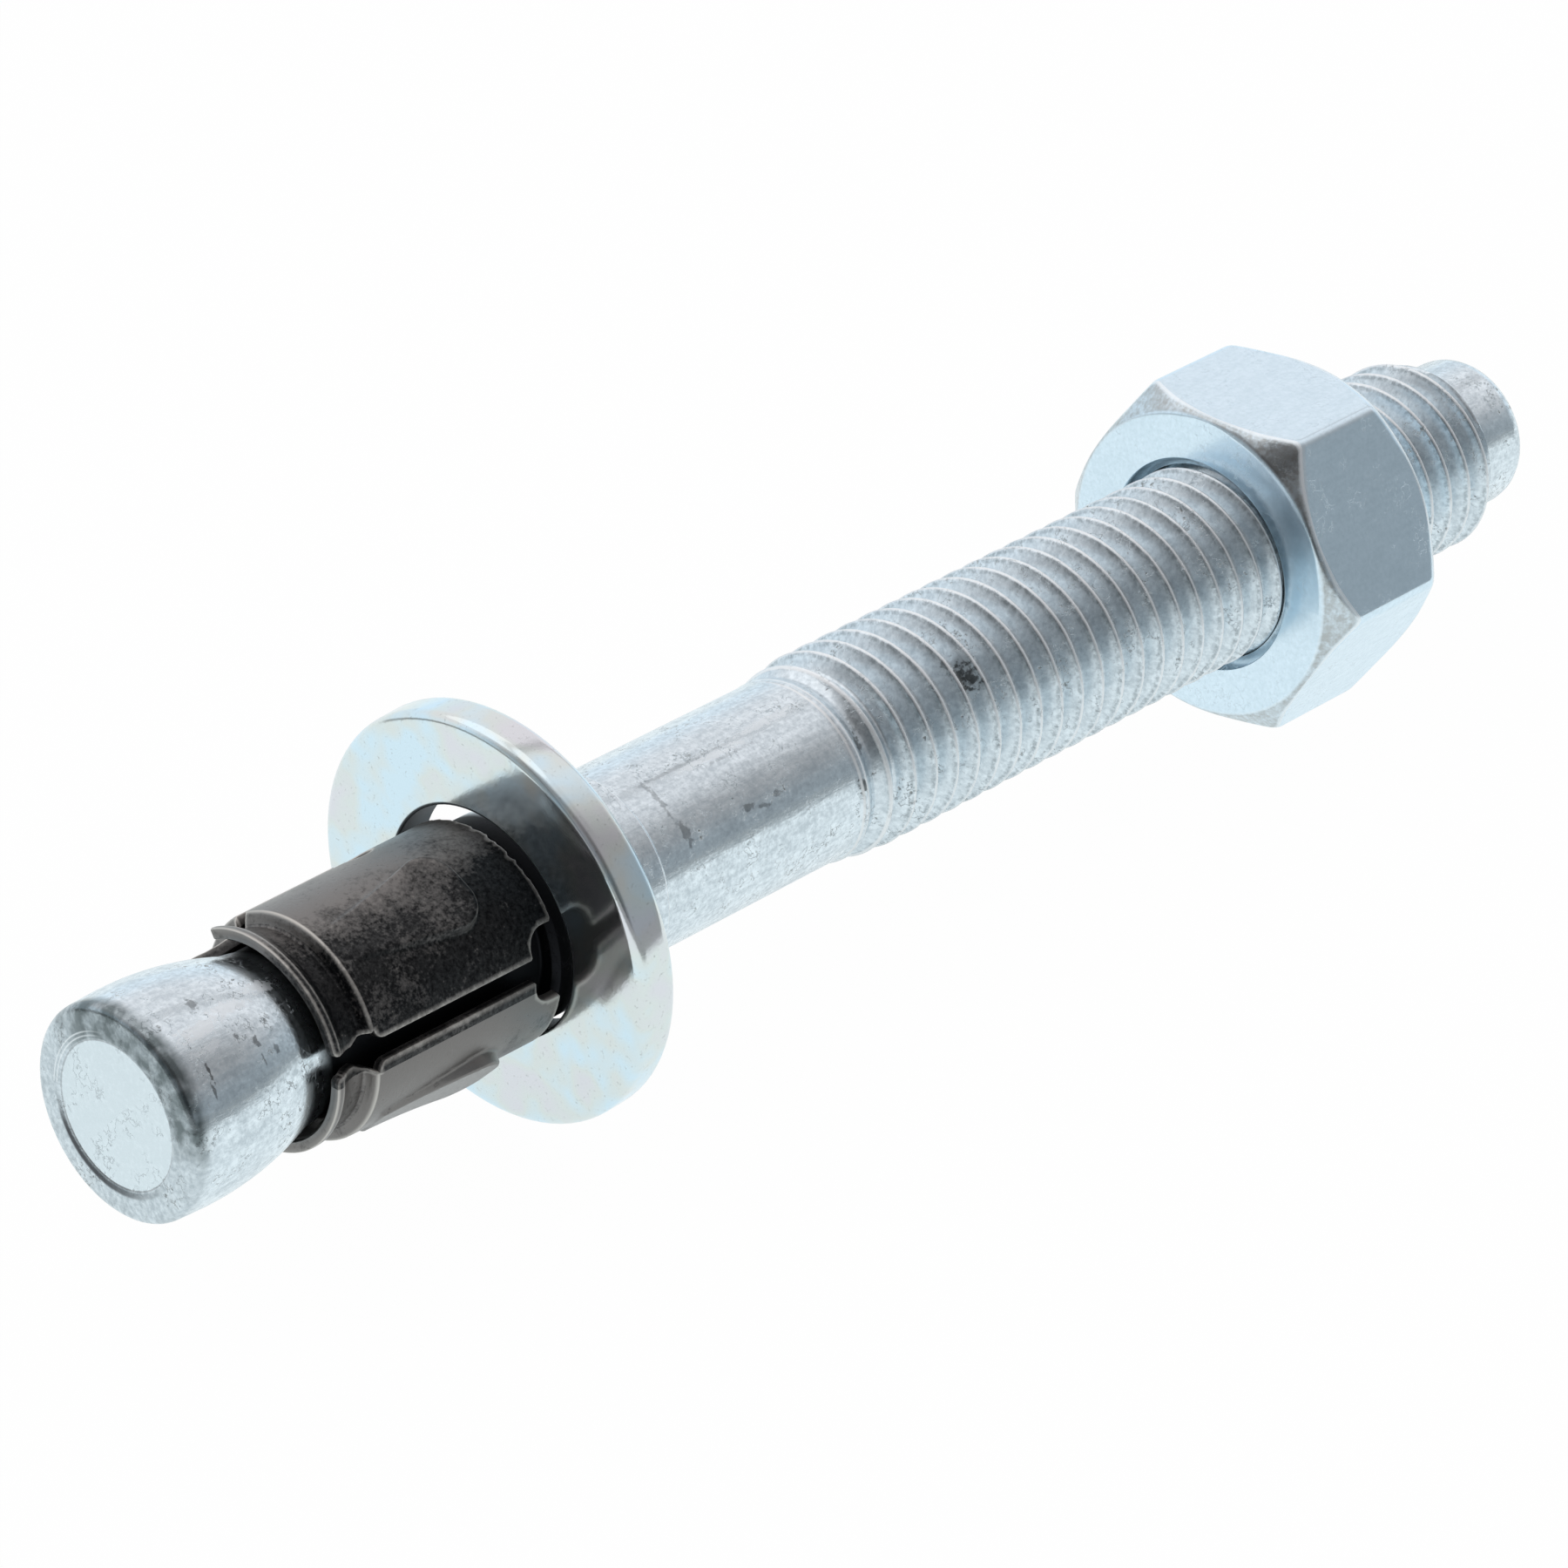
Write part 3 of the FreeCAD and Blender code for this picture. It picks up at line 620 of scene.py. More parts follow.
radius = add(thread_tree, "ShaderNodeMath", {"operation": "MINIMUM"}, {0: radius, 1: taper})
within = add(thread_tree, "ShaderNodeClamp", None, {
    "Value": along, "Min": size["Start"], "Max": size["End"]})
radius = add(thread_tree, "ShaderNodeMath", {"operation": "MAXIMUM"}, {0: radius, 1: size["Root radius"]})
angle = add(thread_tree, "ShaderNodeMath", {"operation": "MULTIPLY"}, {0: turn, 1: 2 * math.pi})
across = add(thread_tree, "ShaderNodeMath", {"operation": "MULTIPLY"}, {
    0: radius, 1: add(thread_tree, "ShaderNodeMath", {"operation": "COSINE"}, {0: angle})})
up = add(thread_tree, "ShaderNodeMath", {"operation": "MULTIPLY"}, {
    0: radius, 1: add(thread_tree, "ShaderNodeMath", {"operation": "SINE"}, {0: angle})})
rolled = add(thread_tree, "GeometryNodeSetPosition", None, {
    "Geometry": grid,
    "Position": add(thread_tree, "ShaderNodeCombineXYZ", None, {"X": within, "Y": across, "Z": up})})
closed = add(thread_tree, "GeometryNodeMergeByDistance", None, {"Geometry": rolled, "Distance": 0.002})
whole = add(thread_tree, "GeometryNodeRealizeInstances", None, {"Geometry": closed})
zinced = add(thread_tree, "GeometryNodeSetMaterial", None, {"Geometry": whole, "Material": stud_zinc})
add(thread_tree, "NodeGroupOutput", None, {"Geometry": zinced})


def made_by(tree, sizes, sockets):
    """The plain mesh that a Geometry Nodes tree gives with these sizes."""
    holder = bpy.data.objects.new("holder", bpy.data.meshes.new("holder"))
    bpy.context.collection.objects.link(holder)
    nodes = holder.modifiers.new("nodes", "NODES")
    nodes.node_group = tree
    for name, value in sizes.items():
        nodes[sockets[name].identifier] = float(value)
    shown = holder.evaluated_get(bpy.context.evaluated_depsgraph_get())
    mesh = bpy.data.meshes.new_from_object(shown)
    bpy.data.objects.remove(holder)
    return mesh


# The head bulges out behind its shoulder and falls in one long curve to the neck
def head_bulge_at(x):
    return head_radius - head_bulge + math.sqrt(head_bulge ** 2 - (x - head_widest_at) ** 2)


stud_front = [
    (tip_disc_depth, 0.0, 0),
    (tip_disc_depth, tip_disc_radius, 0.03),
    (0.0, tip_disc_radius + 0.2, 0.1),
    (0.02, 5.1, 0.8),
    (0.1, 6.06, 0.55),
]
bulge_steps = 14
for step in range(1, bulge_steps + 1):
    x = 1.0 + (head_bulge_end - 1.0) * step / bulge_steps
    stud_front.append((x, head_bulge_at(x), 0))
stud_front += [
    (10.9, neck_radius, 0.8),
    (collar_front, neck_radius, 0.15),
    (collar_front, collar_radius - 0.35, 0.1),
    (collar_front + 0.35, collar_radius, 0.15),
    (collar_rear - 0.35, collar_radius, 0.15),
    (collar_rear, shank_radius, 0.2),
    (thread_start, shank_radius, 0),
]
stud_rear = [
    (thread_end, root_radius, 0),
    (thread_end, point_radius, 0.1),
    (stud_length, point_radius, 1.2),
    (stud_length, 0.0, 0),
]
stud_mesh = bmesh.new()
stud_mesh.from_mesh(made_by(thread_tree, thread_sizes, thread_sockets))
turn_outline(stud_mesh, softened(stud_front))
turn_outline(stud_mesh, softened(stud_rear))
stud = finish_piece(stud_mesh, "stud_with_thread", stud_zinc, lay_down, 75)
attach(stud, "stud")
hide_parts("stud")


# Expansion clip
# One piece of dark sheet steel, stamped and rolled round the neck: a rim and a pressed groove at the head
# end, an open seam with a relief notch, two slots that end in holes, and three wedges pressed outwards.

clip_sheet = 0.6
clip_front = 9.75
clip_rear = 25.548
clip_outer = 6.4
seam_angle = 168.7
seam_half = 0.625
mouth_half = 1.125
notch_half = 2.15
notch_front = 23.65
notch_corner = 1.15
slot_from_seam = 117.0
slot_half = 0.45
slot_end = 20.35
slot_hole = 1.1
wedge_from_seam = 54.0
wedge_front = 13.5
wedge_rear = 21.7
wedge_front_half = 1.2
wedge_rear_half = 2.3
wedge_corner = 1.7
wedge_toe = 0.06
wedge_height = 0.5
wedge_wall = 0.32
cell = 0.22
cut_edge_break = 0.08
clip_bend = 0.07
clip_profile = [
    (clip_front, 6.05), (10.15, 6.05), (10.75, 5.72), (11.2, 5.6), (12.02, 5.6), (12.22, 6.38),
    (clip_rear, 6.45)]
rim_flare = 0.38
rim_flare_turn = 70
rim_cut_back = 3.2
sheared_by = 0.05
torn_by = 0.2


def degrees_as_arc(angle):
    return math.radians(angle) * clip_outer


def arc_points(centre, radius, start, end, step=0.2):
    """Points on an arc of the flat blank, angles in degrees from the round direction towards +x."""
    count = max(2, round(abs(math.radians(end - start)) * radius / step))
    return [
        (centre[0] + radius * math.cos(math.radians(start + (end - start) * number / count)),
         centre[1] + radius * math.sin(math.radians(start + (end - start) * number / count)))
        for number in range(count + 1)]


def seam_side():
    """The blank's border along the seam, from the rim to the collar end, as (round from the seam, x)."""
    side = arc_points((seam_half + 0.35, clip_front + 0.35), 0.35, 270, 180)
    side += [(seam_half, 11.3)]
    side += arc_points((mouth_half - 0.1, 12.0), 0.15, 270, 180, 0.1)[:1]
    side += [(mouth_half - 0.02, 12.25)]
    side += arc_points((seam_half + 0.6, 13.0), 0.6, 270, 180)
    side += [(seam_half, notch_front - 0.1)]
    side += [(seam_half + 0.1, notch_front)]
    side += arc_points((notch_half - notch_corner, notch_front + notch_corner), notch_corner, 270, 360)
    side += [(notch_half, clip_rear - 0.15), (notch_half + 0.15, clip_rear)]
    return side


def slot_side(middle, cut_back=0.0):
    """The border of one slot, in from the head end, round its hole and out again."""
    mouth = 0.2
    open_half = math.degrees(math.asin(slot_half / slot_hole))
    border = [(middle - slot_half - mouth, clip_front), (middle - slot_half, clip_front + mouth)]
    if cut_back:
        border = [(middle - slot_half - cut_back, clip_front), (middle - slot_half, clip_front + 2.2)]
    border += arc_points((middle, slot_end), slot_hole, 270 - open_half, -90 + open_half)
    border += [(middle + slot_half, clip_front + mouth), (middle + slot_half + mouth, clip_front)]
    return border


def dense(border, step=0.22):
    """The closed border with points added on its long straight stretches."""
    filled = []
    for here, there in zip(border, border[1:] + border[:1]):
        parts = max(1, round(math.dist(here, there) / step))
        filled += [
            (here[0] + (there[0] - here[0]) * part / parts, here[1] + (there[1] - here[1]) * part / parts)
            for part in range(parts)]
    return filled


whole_round = degrees_as_arc(360)
left_side = seam_side()
right_side = [(whole_round - across, x) for across, x in left_side]
blank_border = list(reversed(left_side))
blank_border += slot_side(degrees_as_arc(slot_from_seam))
blank_border += slot_side(degrees_as_arc(360 - slot_from_seam), rim_cut_back)
blank_border = dense(blank_border + right_side)

# The shears left the collar end a little uneven, and torn on the upper side
torn_from, torn_to = degrees_as_arc(252), degrees_as_arc(318)
for number, (across, x) in enumerate(blank_border):
    if x > clip_rear - 0.01:
        depth = torn_by if torn_from < across < torn_to else sheared_by
        rag = noise.noise(Vector((across * 2.6, 0.0, 0.0)))
        rag += 0.6 * noise.noise(Vector((across * 6.0, 5.0, 0.0)))
        blank_border[number] = (across, x - depth * min(1.0, max(0.0, 0.5 + rag)))


def from_border(points, border):
    """Distance of each point from a closed border, and whether it lies inside."""
    points = np.asarray(points, float)
    starts = np.asarray(border, float)
    ends = np.roll(starts, -1, axis=0)
    runs = ends - starts
    nearest = np.full(len(points), 1e9)
    inside = np.zeros(len(points), bool)
    for start, run, end in zip(starts, runs, ends):
        off = points - start
        share = np.clip((off @ run) / max(run @ run, 1e-12), 0, 1)
        nearest = np.minimum(nearest, np.linalg.norm(off - share[:, None] * run, axis=1))
        crosses = (start[1] > points[:, 1]) != (end[1] > points[:, 1])
        rise = run[1] if abs(run[1]) > 1e-12 else 1e-12
        meets = start[0] + (points[:, 1] - start[1]) * run[0] / rise
        inside ^= crosses & (points[:, 0] < meets)
    return nearest, inside


def wedge_border(middle):
    """Plan of one pressed wedge: narrow towards the head, with round corners towards the collar."""
    slant = math.atan2(wedge_rear_half - wedge_front_half, wedge_rear - wedge_front)
    corner = (wedge_rear_half - wedge_corner, wedge_rear - wedge_corner)
    turn = math.degrees(slant)
    near = arc_points((middle + corner[0], corner[1]), wedge_corner, -turn, 90)
    far = arc_points((middle - corner[0], corner[1]), wedge_corner, 90, 180 + turn)
    return [(middle - wedge_front_half, wedge_front), (middle + wedge_front_half, wedge_front)] + near + far


# The flat blank is filled with a grid of points, closer together along the wedges' borders
wedge_borders = [
    wedge_border(degrees_as_arc(place))
    for place in (wedge_from_seam, 180, 360 - wedge_from_seam)]
wedge_walls = []
for border in wedge_borders:
    ring = np.array(dense(border, 0.18))
    forward = np.roll(ring, -1, axis=0) - np.roll(ring, 1, axis=0)
    outwards = np.stack([forward[:, 1], -forward[:, 0]], axis=1)
    outwards /= np.linalg.norm(outwards, axis=1)[:, None]
    for off in (-0.2, -0.07, 0.07, 0.2):
        wedge_walls.append(ring + off * outwards)
wedge_walls = np.concatenate(wedge_walls)
stations = sorted(
    [9.95, 10.15, 10.32, 10.42, 10.5, 10.58, 10.68, 10.78, 10.87, 11.0, 11.25, 11.5, 11.75, 11.88, 11.96,
     12.04, 12.12, 12.2, 12.28, 12.45]
    + list(np.arange(12.7, clip_rear - 0.1, cell)))
rounds = np.arange(0.3, whole_round - 0.2, cell)
grid_points = np.array([(across, x) for x in stations for across in rounds])
for border in wedge_borders:
    off, _ = from_border(grid_points, border)
    grid_points = grid_points[off > 0.27]
inset_border = []
count = len(blank_border)
for number in range(count):
    before = Vector(blank_border[number - 1])
    here = Vector(blank_border[number])
    after = Vector(blank_border[(number + 1) % count])
    forward = ((here - before).normalized() + (after - here).normalized()).normalized()
    inset_border.append(tuple(here + Vector((-forward.y, forward.x)) * cut_edge_break))
fill = np.concatenate([grid_points, wedge_walls])
off, inside = from_border(fill, inset_border)
fill = fill[inside & (off > 0.09)]
flat = [Vector(spot) for spot in inset_border] + [Vector(spot) for spot in fill.tolist()]
edges = [(number, (number + 1) % count) for number in range(count)]
flat_spots, _, flat_faces, origins, _, _ = geometry.delaunay_2d_cdt(
    flat, edges, [list(range(count))], 1, 1e-6)
flat_spots = np.array([tuple(spot) for spot in flat_spots])


def wedge_share(spots, border):
    """How far each point of the flat blank stands on a wedge, from 0 beside it to 1 on it."""
    off, inside = from_border(spots, border)
    wall = np.clip((np.where(inside, off, -off) + wedge_wall / 2) / wedge_wall, 0, 1)
    return wall * wall * (3 - 2 * wall)


def clip_height(spots):
    """Outside radius of the rolled sheet at (round, x): the pressed profile with its wedges on top."""
    knots_x = [station[0] for station in clip_profile]
    knots_r = [station[1] for station in clip_profile]
    x = spots[:, 1]
    height = np.mean(
        [np.interp(x + off, knots_x, knots_r) for off in np.linspace(-clip_bend, clip_bend, 7)], axis=0)

    # The rim of the upper segment stands out beside its slot
    from_slot = (spots[:, 0] - degrees_as_arc(360 - slot_from_seam)) / degrees_as_arc(rim_flare_turn)
    flare = np.where(from_slot < 0, 0, np.clip(1 - from_slot, 0, 1))
    flare = flare * flare * (3 - 2 * flare)
    height = height + rim_flare * flare * np.clip((12.0 - x) / 1.6, 0, 1)
    for place, border in zip((wedge_from_seam, 180, 360 - wedge_from_seam), wedge_borders):
        share = np.clip((x - wedge_front) / (wedge_rear - wedge_front), 0, 1)
        aside = (spots[:, 0] - degrees_as_arc(place)) / clip_outer
        flat_top = height + wedge_toe + (wedge_height - wedge_toe) * share ** 2
        flat_top = flat_top / np.cos(np.clip(aside, -1, 1))
        height = height + wedge_share(spots, border) * np.maximum(flat_top - height, 0)
    return height


def roll_up(spots, below):
    """Rolls points of the flat blank round the stud, at a depth below the sheet's outside."""
    spots = np.asarray(spots, float)
    out = clip_height(spots) - below
    turn = np.radians(seam_angle) + spots[:, 0] / clip_outer
    return np.stack([spots[:, 1], out * np.cos(turn), out * np.sin(turn)], axis=1)


clip_points = []
clip_faces = []
clip_cut = []
skin_size = len(flat_spots)
clip_points.append(roll_up(flat_spots, 0.0))
clip_points.append(roll_up(flat_spots, clip_sheet))
clip_faces += [tuple(face) for face in flat_faces]
clip_faces += [tuple(skin_size + corner for corner in reversed(face)) for face in flat_faces]
on_wedge = sum(wedge_share(flat_spots, border) for border in wedge_borders)
# The wedges' rear rims take a pale line, partly wear and partly a painted highlight
wedge_rim = 4 * on_wedge * (1 - on_wedge) * np.clip((flat_spots[:, 1] - 19.5) / 1.5, 0, 1)
clip_cut += list(0.6 * wedge_rim) + [0.0] * skin_size
slot_of_border = {}
for index, origin in enumerate(origins):
    for first in origin:
        if first < count:
            slot_of_border[first] = index
rings = [[slot_of_border[number] for number in range(count)]]
border_array = np.array(blank_border)
inset_array = np.array(inset_border)
# The rings of the cut edge: its outer corner is pale, partly bare steel and partly a painted highlight, and
# its wall is dark
for share, below, brightness in (
        (0.7, 0.3 * cut_edge_break, 1.0), (1.0, cut_edge_break, 0.25), (1.0, clip_sheet / 2, 0.0),
        (1.0, clip_sheet - cut_edge_break, 0.1), (0.7, clip_sheet - 0.3 * cut_edge_break, 0.4)):
    start = sum(len(block) for block in clip_points)
    clip_points.append(roll_up(inset_array + (border_array - inset_array) * share, below))
    clip_cut += [brightness] * count
    rings.append([start + number for number in range(count)])
rings.append([skin_size + slot_of_border[number] for number in range(count)])
for upper, lower in zip(rings, rings[1:]):
    for number in range(count):
        beside = (number + 1) % count
        clip_faces.append((upper[beside], upper[number], lower[number], lower[beside]))
for number in range(count):
    clip_cut[rings[0][number]] = 0.8
    clip_cut[rings[-1][number]] = 0.2

# Black oxide on sheet steel: a thin dark glossy film, worn to a warm grey in patches and flecks. The grey
# is
# painted in as light too: lighter on the lit top, lighter on the segment below the seam as a painted
# reflection of the white floor, and darker as painted shade in the groove and beside the washer. Bends and
# sheared edges carry thin pale lines, partly bare steel and partly painted highlights
groove_middle = 11.3
groove_half = 0.75
clip_steel = bpy.data.materials.new("worn black oxide sheet steel")
tree = blank(clip_steel)
spot = stud_millimetres(tree)
fleck = add(tree, "ShaderNodeTexNoise", None, {
    "Vector": spot, "Scale": 4.0, "Detail": 5.0, "Roughness": 0.7})
worn_area = add(tree, "ShaderNodeTexNoise", None, {
    "Vector": spot, "Scale": 0.5, "Detail": 5.0, "Roughness": 0.6})
turned_place = add(tree, "ShaderNodeSeparateXYZ", None, {0: spot})
bearing = add(tree, "ShaderNodeMath", {"operation": "ARCTAN2"}, {
    0: turned_place.outputs["Z"], 1: turned_place.outputs["Y"]})
# Painted light: the segment below the seam is lighter as a painted reflection of the floor, the top lighter
# where lit, and the groove and the stretch beside the washer darker as painted shade
floor_reflection_below_seam = add(tree, "ShaderNodeMapRange", None, {
    "Value": bearing, "From Min": math.radians(-150), "From Max": math.radians(-172),
    "To Min": 0.0, "To Max": 0.36})
lit_top = add(tree, "ShaderNodeMapRange", None, {
    "Value": bearing, "From Min": math.radians(120), "From Max": math.radians(88),
    "To Min": 0.0, "To Max": 0.75})
raised = add(tree, "ShaderNodeAttribute", {"attribute_name": "raised"})
washer_shade = add(tree, "ShaderNodeMapRange", None, {
    "Value": turned_place.outputs["X"], "From Min": 21.3, "From Max": 22.6, "To Min": 0.0, "To Max": -0.22})
groove_shade = add(tree, "ShaderNodeMath", {"operation": "COMPARE"}, {
    0: turned_place.outputs["X"], 1: groove_middle, 2: groove_half})
wear_and_painted_light = fleck.outputs["Fac"]
for share, amount in (
        (worn_area.outputs["Fac"], 1.3), (floor_reflection_below_seam, 1.0), (lit_top, 1.0), (raised.outputs["Fac"], 0.1),
        (washer_shade, 1.0), (groove_shade, -0.3)):
    wear_and_painted_light = add(tree, "ShaderNodeMath", {"operation": "MULTIPLY_ADD"}, {
        0: share, 1: amount, 2: wear_and_painted_light})
wear_and_light = add(tree, "ShaderNodeMapRange", None, {
    "Value": wear_and_painted_light, "From Min": 1.2, "From Max": 1.85, "To Min": 0.0, "To Max": 0.8})
tone = add(tree, "ShaderNodeMix", {"data_type": "RGBA"}, {
    "Factor": wear_and_light, "A": paint("#0B0C0E"), "B": paint("#908C89")})
bright_fleck = add(tree, "ShaderNodeMapRange", None, {
    "Value": fleck.outputs["Fac"], "From Min": 0.66, "From Max": 0.74})
tone = add(tree, "ShaderNodeMix", {"data_type": "RGBA"}, {
    "Factor": bright_fleck, "A": tone.outputs["Result"], "B": paint("#98918A")})
rubbed_and_painted_light = add(tree, "ShaderNodeMapRange", None, {
    "Value": wear_and_painted_light, "From Min": 0.95, "From Max": 1.4, "To Min": 0.45, "To Max": 1.0})
cut = add(tree, "ShaderNodeAttribute", {"attribute_name": "cut_edge"})
bare_and_highlit_edge = cut.outputs["Fac"]
# The bends take thin pale lines, partly bare steel and partly painted highlights
for bend_at, bend_share in ((12.3, 0.9), (10.2, 0.55)):
    off_bend = add(tree, "ShaderNodeMath", {"operation": "SUBTRACT"}, {
        0: turned_place.outputs["X"], 1: bend_at})
    off_bend = add(tree, "ShaderNodeMath", {"operation": "ABSOLUTE"}, {0: off_bend})
    bend = add(tree, "ShaderNodeMapRange", None, {
        "Value": off_bend, "From Min": 0.03, "From Max": 0.12, "To Min": bend_share, "To Max": 0.0})
    bare_and_highlit_edge = add(tree, "ShaderNodeMath", {"operation": "MAXIMUM"}, {0: bare_and_highlit_edge, 1: bend})
edge_share = add(tree, "ShaderNodeMath", {"operation": "MULTIPLY"}, {0: bare_and_highlit_edge, 1: rubbed_and_painted_light})
edge_tone = add(tree, "ShaderNodeMix", {"data_type": "RGBA"}, {
    "Factor": edge_share, "A": tone.outputs["Result"], "B": paint("#D2CEC8")})
metal_share = add(tree, "ShaderNodeMath", {"operation": "MAXIMUM"}, {0: edge_share, 1: wear_and_light})
sheen = add(tree, "ShaderNodeMapRange", None, {
    "Value": fleck.outputs["Fac"], "From Min": 0.3, "From Max": 0.7, "To Min": 0.26, "To Max": 0.42})
sheen = add(tree, "ShaderNodeMix", {"data_type": "FLOAT"}, {"Factor": edge_share, "A": sheen, "B": 0.5})
relief = add(tree, "ShaderNodeBump", None, {
    "Height": fleck.outputs["Fac"], "Strength": 1.0, "Distance": 0.00002})
film = add(tree, "ShaderNodeMapRange", None, {
    "Value": fleck.outputs["Fac"], "From Min": 0.38, "From Max": 0.62, "To Min": 0.12, "To Max": 0.6})
steel = add(tree, "ShaderNodeBsdfPrincipled", None, {
    "Base Color": edge_tone.outputs["Result"], "Metallic": metal_share, "Roughness": sheen,
    "Specular IOR Level": film, "Normal": relief})
add(tree, "ShaderNodeOutputMaterial", None, {"Surface": steel})

clip_data = bpy.data.meshes.new("expansion_clip_sheet")
clip_data.from_pydata(np.concatenate(clip_points).tolist(), [], clip_faces)
clip_data.attributes.new("cut_edge", "FLOAT", "POINT").data.foreach_set("value", clip_cut)
clip_raised = list(on_wedge) + [0.0] * (len(clip_cut) - skin_size)
clip_data.attributes.new("raised", "FLOAT", "POINT").data.foreach_set("value", clip_raised)
clip_mesh = bmesh.new()
clip_mesh.from_mesh(clip_data)
clip = finish_piece(clip_mesh, "expansion_clip_sheet", clip_steel, lay_down)
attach(clip, "expansion_clip")
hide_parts("expansion_clip")


# Washer
# A punched and tumbled steel ring, zinc plated, so its edges are round and its skin is almost a mirror.
# It stands on its rim with its top leaning towards the head, and the stud lies low in its bore.

washer_radius = 12.0
washer_bore = 6.7
washer_thickness = 2.5
washer_middle = 27.2
washer_lift = 0.59
washer_lean = math.radians(1.7)
washer_front = -washer_thickness / 2
washer_rear = washer_thickness / 2
washer_ring = [
    (0.0, washer_bore, 0),
    (washer_front, washer_bore, 0.15),
    (washer_front, washer_radius, 0.6),
    (washer_rear, washer_radius, 0.6),
    (washer_rear, washer_bore, 0.15),
    (0.0, washer_bore, 0),
]
washer_zinc = bpy.data.materials.new("tumbled zinc-plated steel")
tree = blank(washer_zinc)
spot = stud_millimetres(tree)
cloud = add(tree, "ShaderNodeTexNoise", None, {"Vector": spot, "Scale": 0.3, "Detail": 2.0})
tint = add(tree, "ShaderNodeValToRGB", None, {"Fac": cloud.outputs["Fac"]})
tint.color_ramp.elements[0].position = 0.38
tint.color_ramp.elements[0].color = paint("#DCF0FA")
tint.color_ramp.elements[1].position = 0.66
tint.color_ramp.elements[1].color = paint("#E6E6EA")
yellowish = tint.color_ramp.elements.new(0.53)
yellowish.color = paint("#E4EAE7")
speck = add(tree, "ShaderNodeTexNoise", None, {
    "Vector": spot, "Scale": 4.0, "Detail": 4.0, "Roughness": 0.65})
speck_share = add(tree, "ShaderNodeMapRange", None, {
    "Value": speck.outputs["Fac"], "From Min": 0.6, "From Max": 0.72, "To Min": 0.0, "To Max": 0.5})
tone = add(tree, "ShaderNodeMix", {"data_type": "RGBA"}, {
    "Factor": speck_share, "A": tint, "B": paint("#A3A6A4")})

# The punch left the bore's wall rough and dark, and it is darker still as painted shade in the narrow gap
# round the stud
from_bore = add(tree, "ShaderNodeVectorMath", {"operation": "MULTIPLY_ADD"}, {
    0: spot, 1: (0.0, 1.0, 1.0), 2: (0.0, 0.0, -washer_lift)})
from_bore = add(tree, "ShaderNodeVectorMath", {"operation": "LENGTH"}, {0: from_bore})
punched_and_shaded = add(tree, "ShaderNodeMapRange", None, {
    "Value": from_bore.outputs["Value"], "From Min": washer_bore + 0.15, "From Max": washer_bore + 0.08})
tone = add(tree, "ShaderNodeMix", {"data_type": "RGBA"}, {
    "Factor": punched_and_shaded, "A": tone.outputs["Result"], "B": paint("#54585B")})
sheen = add(tree, "ShaderNodeMix", {"data_type": "FLOAT"}, {"Factor": punched_and_shaded, "A": 0.12, "B": 0.55})
relief = add(tree, "ShaderNodeBump", None, {
    "Height": speck.outputs["Fac"], "Strength": 1.0, "Distance": 0.000004})
zinc = add(tree, "ShaderNodeBsdfPrincipled", None, {
    "Base Color": tone.outputs["Result"], "Metallic": 0.95, "Roughness": sheen, "Normal": relief})
add(tree, "ShaderNodeOutputMaterial", None, {"Surface": zinc})

washer_mesh = bmesh.new()
turn_outline(washer_mesh, softened(washer_ring, 8))
stand = (
    lay_down @ Matrix.Translation((washer_middle, 0, washer_lift))
    @ Matrix.Rotation(-stud_tilt - washer_lean, 4, "Y"))
washer = finish_piece(washer_mesh, "washer_ring", washer_zinc, stand)
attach(washer, "washer")
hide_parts("washer")


# Hexagon nut
# A cold-formed M12 nut, 19 mm across flats, zinc plated. Both faces are chamfered by a cone, and the bore
# is countersunk at both ends.

nut_flat = 9.5
nut_front = 84.7
nut_rear = 94.7
nut_middle = (nut_front + nut_rear) / 2
nut_face = 9.3
nut_bore = 6.0
nut_sink = 6.55
nut_corner_round = 0.75
nut_corner_centre = (nut_flat - nut_corner_round) / math.cos(math.radians(30))
nut_corner_half = math.atan2(
    nut_corner_round / 2, nut_corner_centre + nut_corner_round * math.cos(math.radians(30)))


def nut_side(off_corner):
    """Distance of the hexagon's rounded outline from the axis, by the turn from the nearest corner."""
    if abs(off_corner) < nut_corner_half:
        aside = nut_corner_centre * math.sin(off_corner)
        return nut_corner_centre * math.cos(off_corner) + math.sqrt(nut_corner_round ** 2 - aside ** 2)
    return nut_flat / math.cos(math.radians(30) - abs(off_corner))


# A profile is drawn for each turn, because the cone trims the corners further back than the flats
nut_turns = []
for corner in range(6):
    for step in range(-3, 4):
        nut_turns.append((math.radians(60 * corner), nut_corner_half * step / 3))
    for step in range(1, 18):
        off_corner = nut_corner_half + (math.radians(60) - 2 * nut_corner_half) * step / 18
        nut_turns.append((math.radians(60 * corner), off_corner))
nut_mesh = bmesh.new()
nut_profiles = []
for corner_turn, off_corner in nut_turns:
    side = nut_side(off_corner if off_corner < math.radians(30) else math.radians(60) - off_corner)
    trim = side - nut_face
    sink = nut_sink - nut_bore
    profile = softened([
        (nut_middle, nut_bore, 0),
        (nut_front + sink, nut_bore, 0.05),
        (nut_front, nut_sink, 0.08),
        (nut_front, nut_face, 0.7),
        (nut_front + trim, side, 1.1),
        (nut_rear - trim, side, 1.1),
        (nut_rear, nut_face, 0.7),
        (nut_rear, nut_sink, 0.08),
        (nut_rear - sink, nut_bore, 0.05),
        (nut_middle, nut_bore, 0)])
    turn = corner_turn + off_corner
    nut_profiles.append([
        nut_mesh.verts.new((x, radius * math.cos(turn), radius * math.sin(turn))) for x, radius in profile])
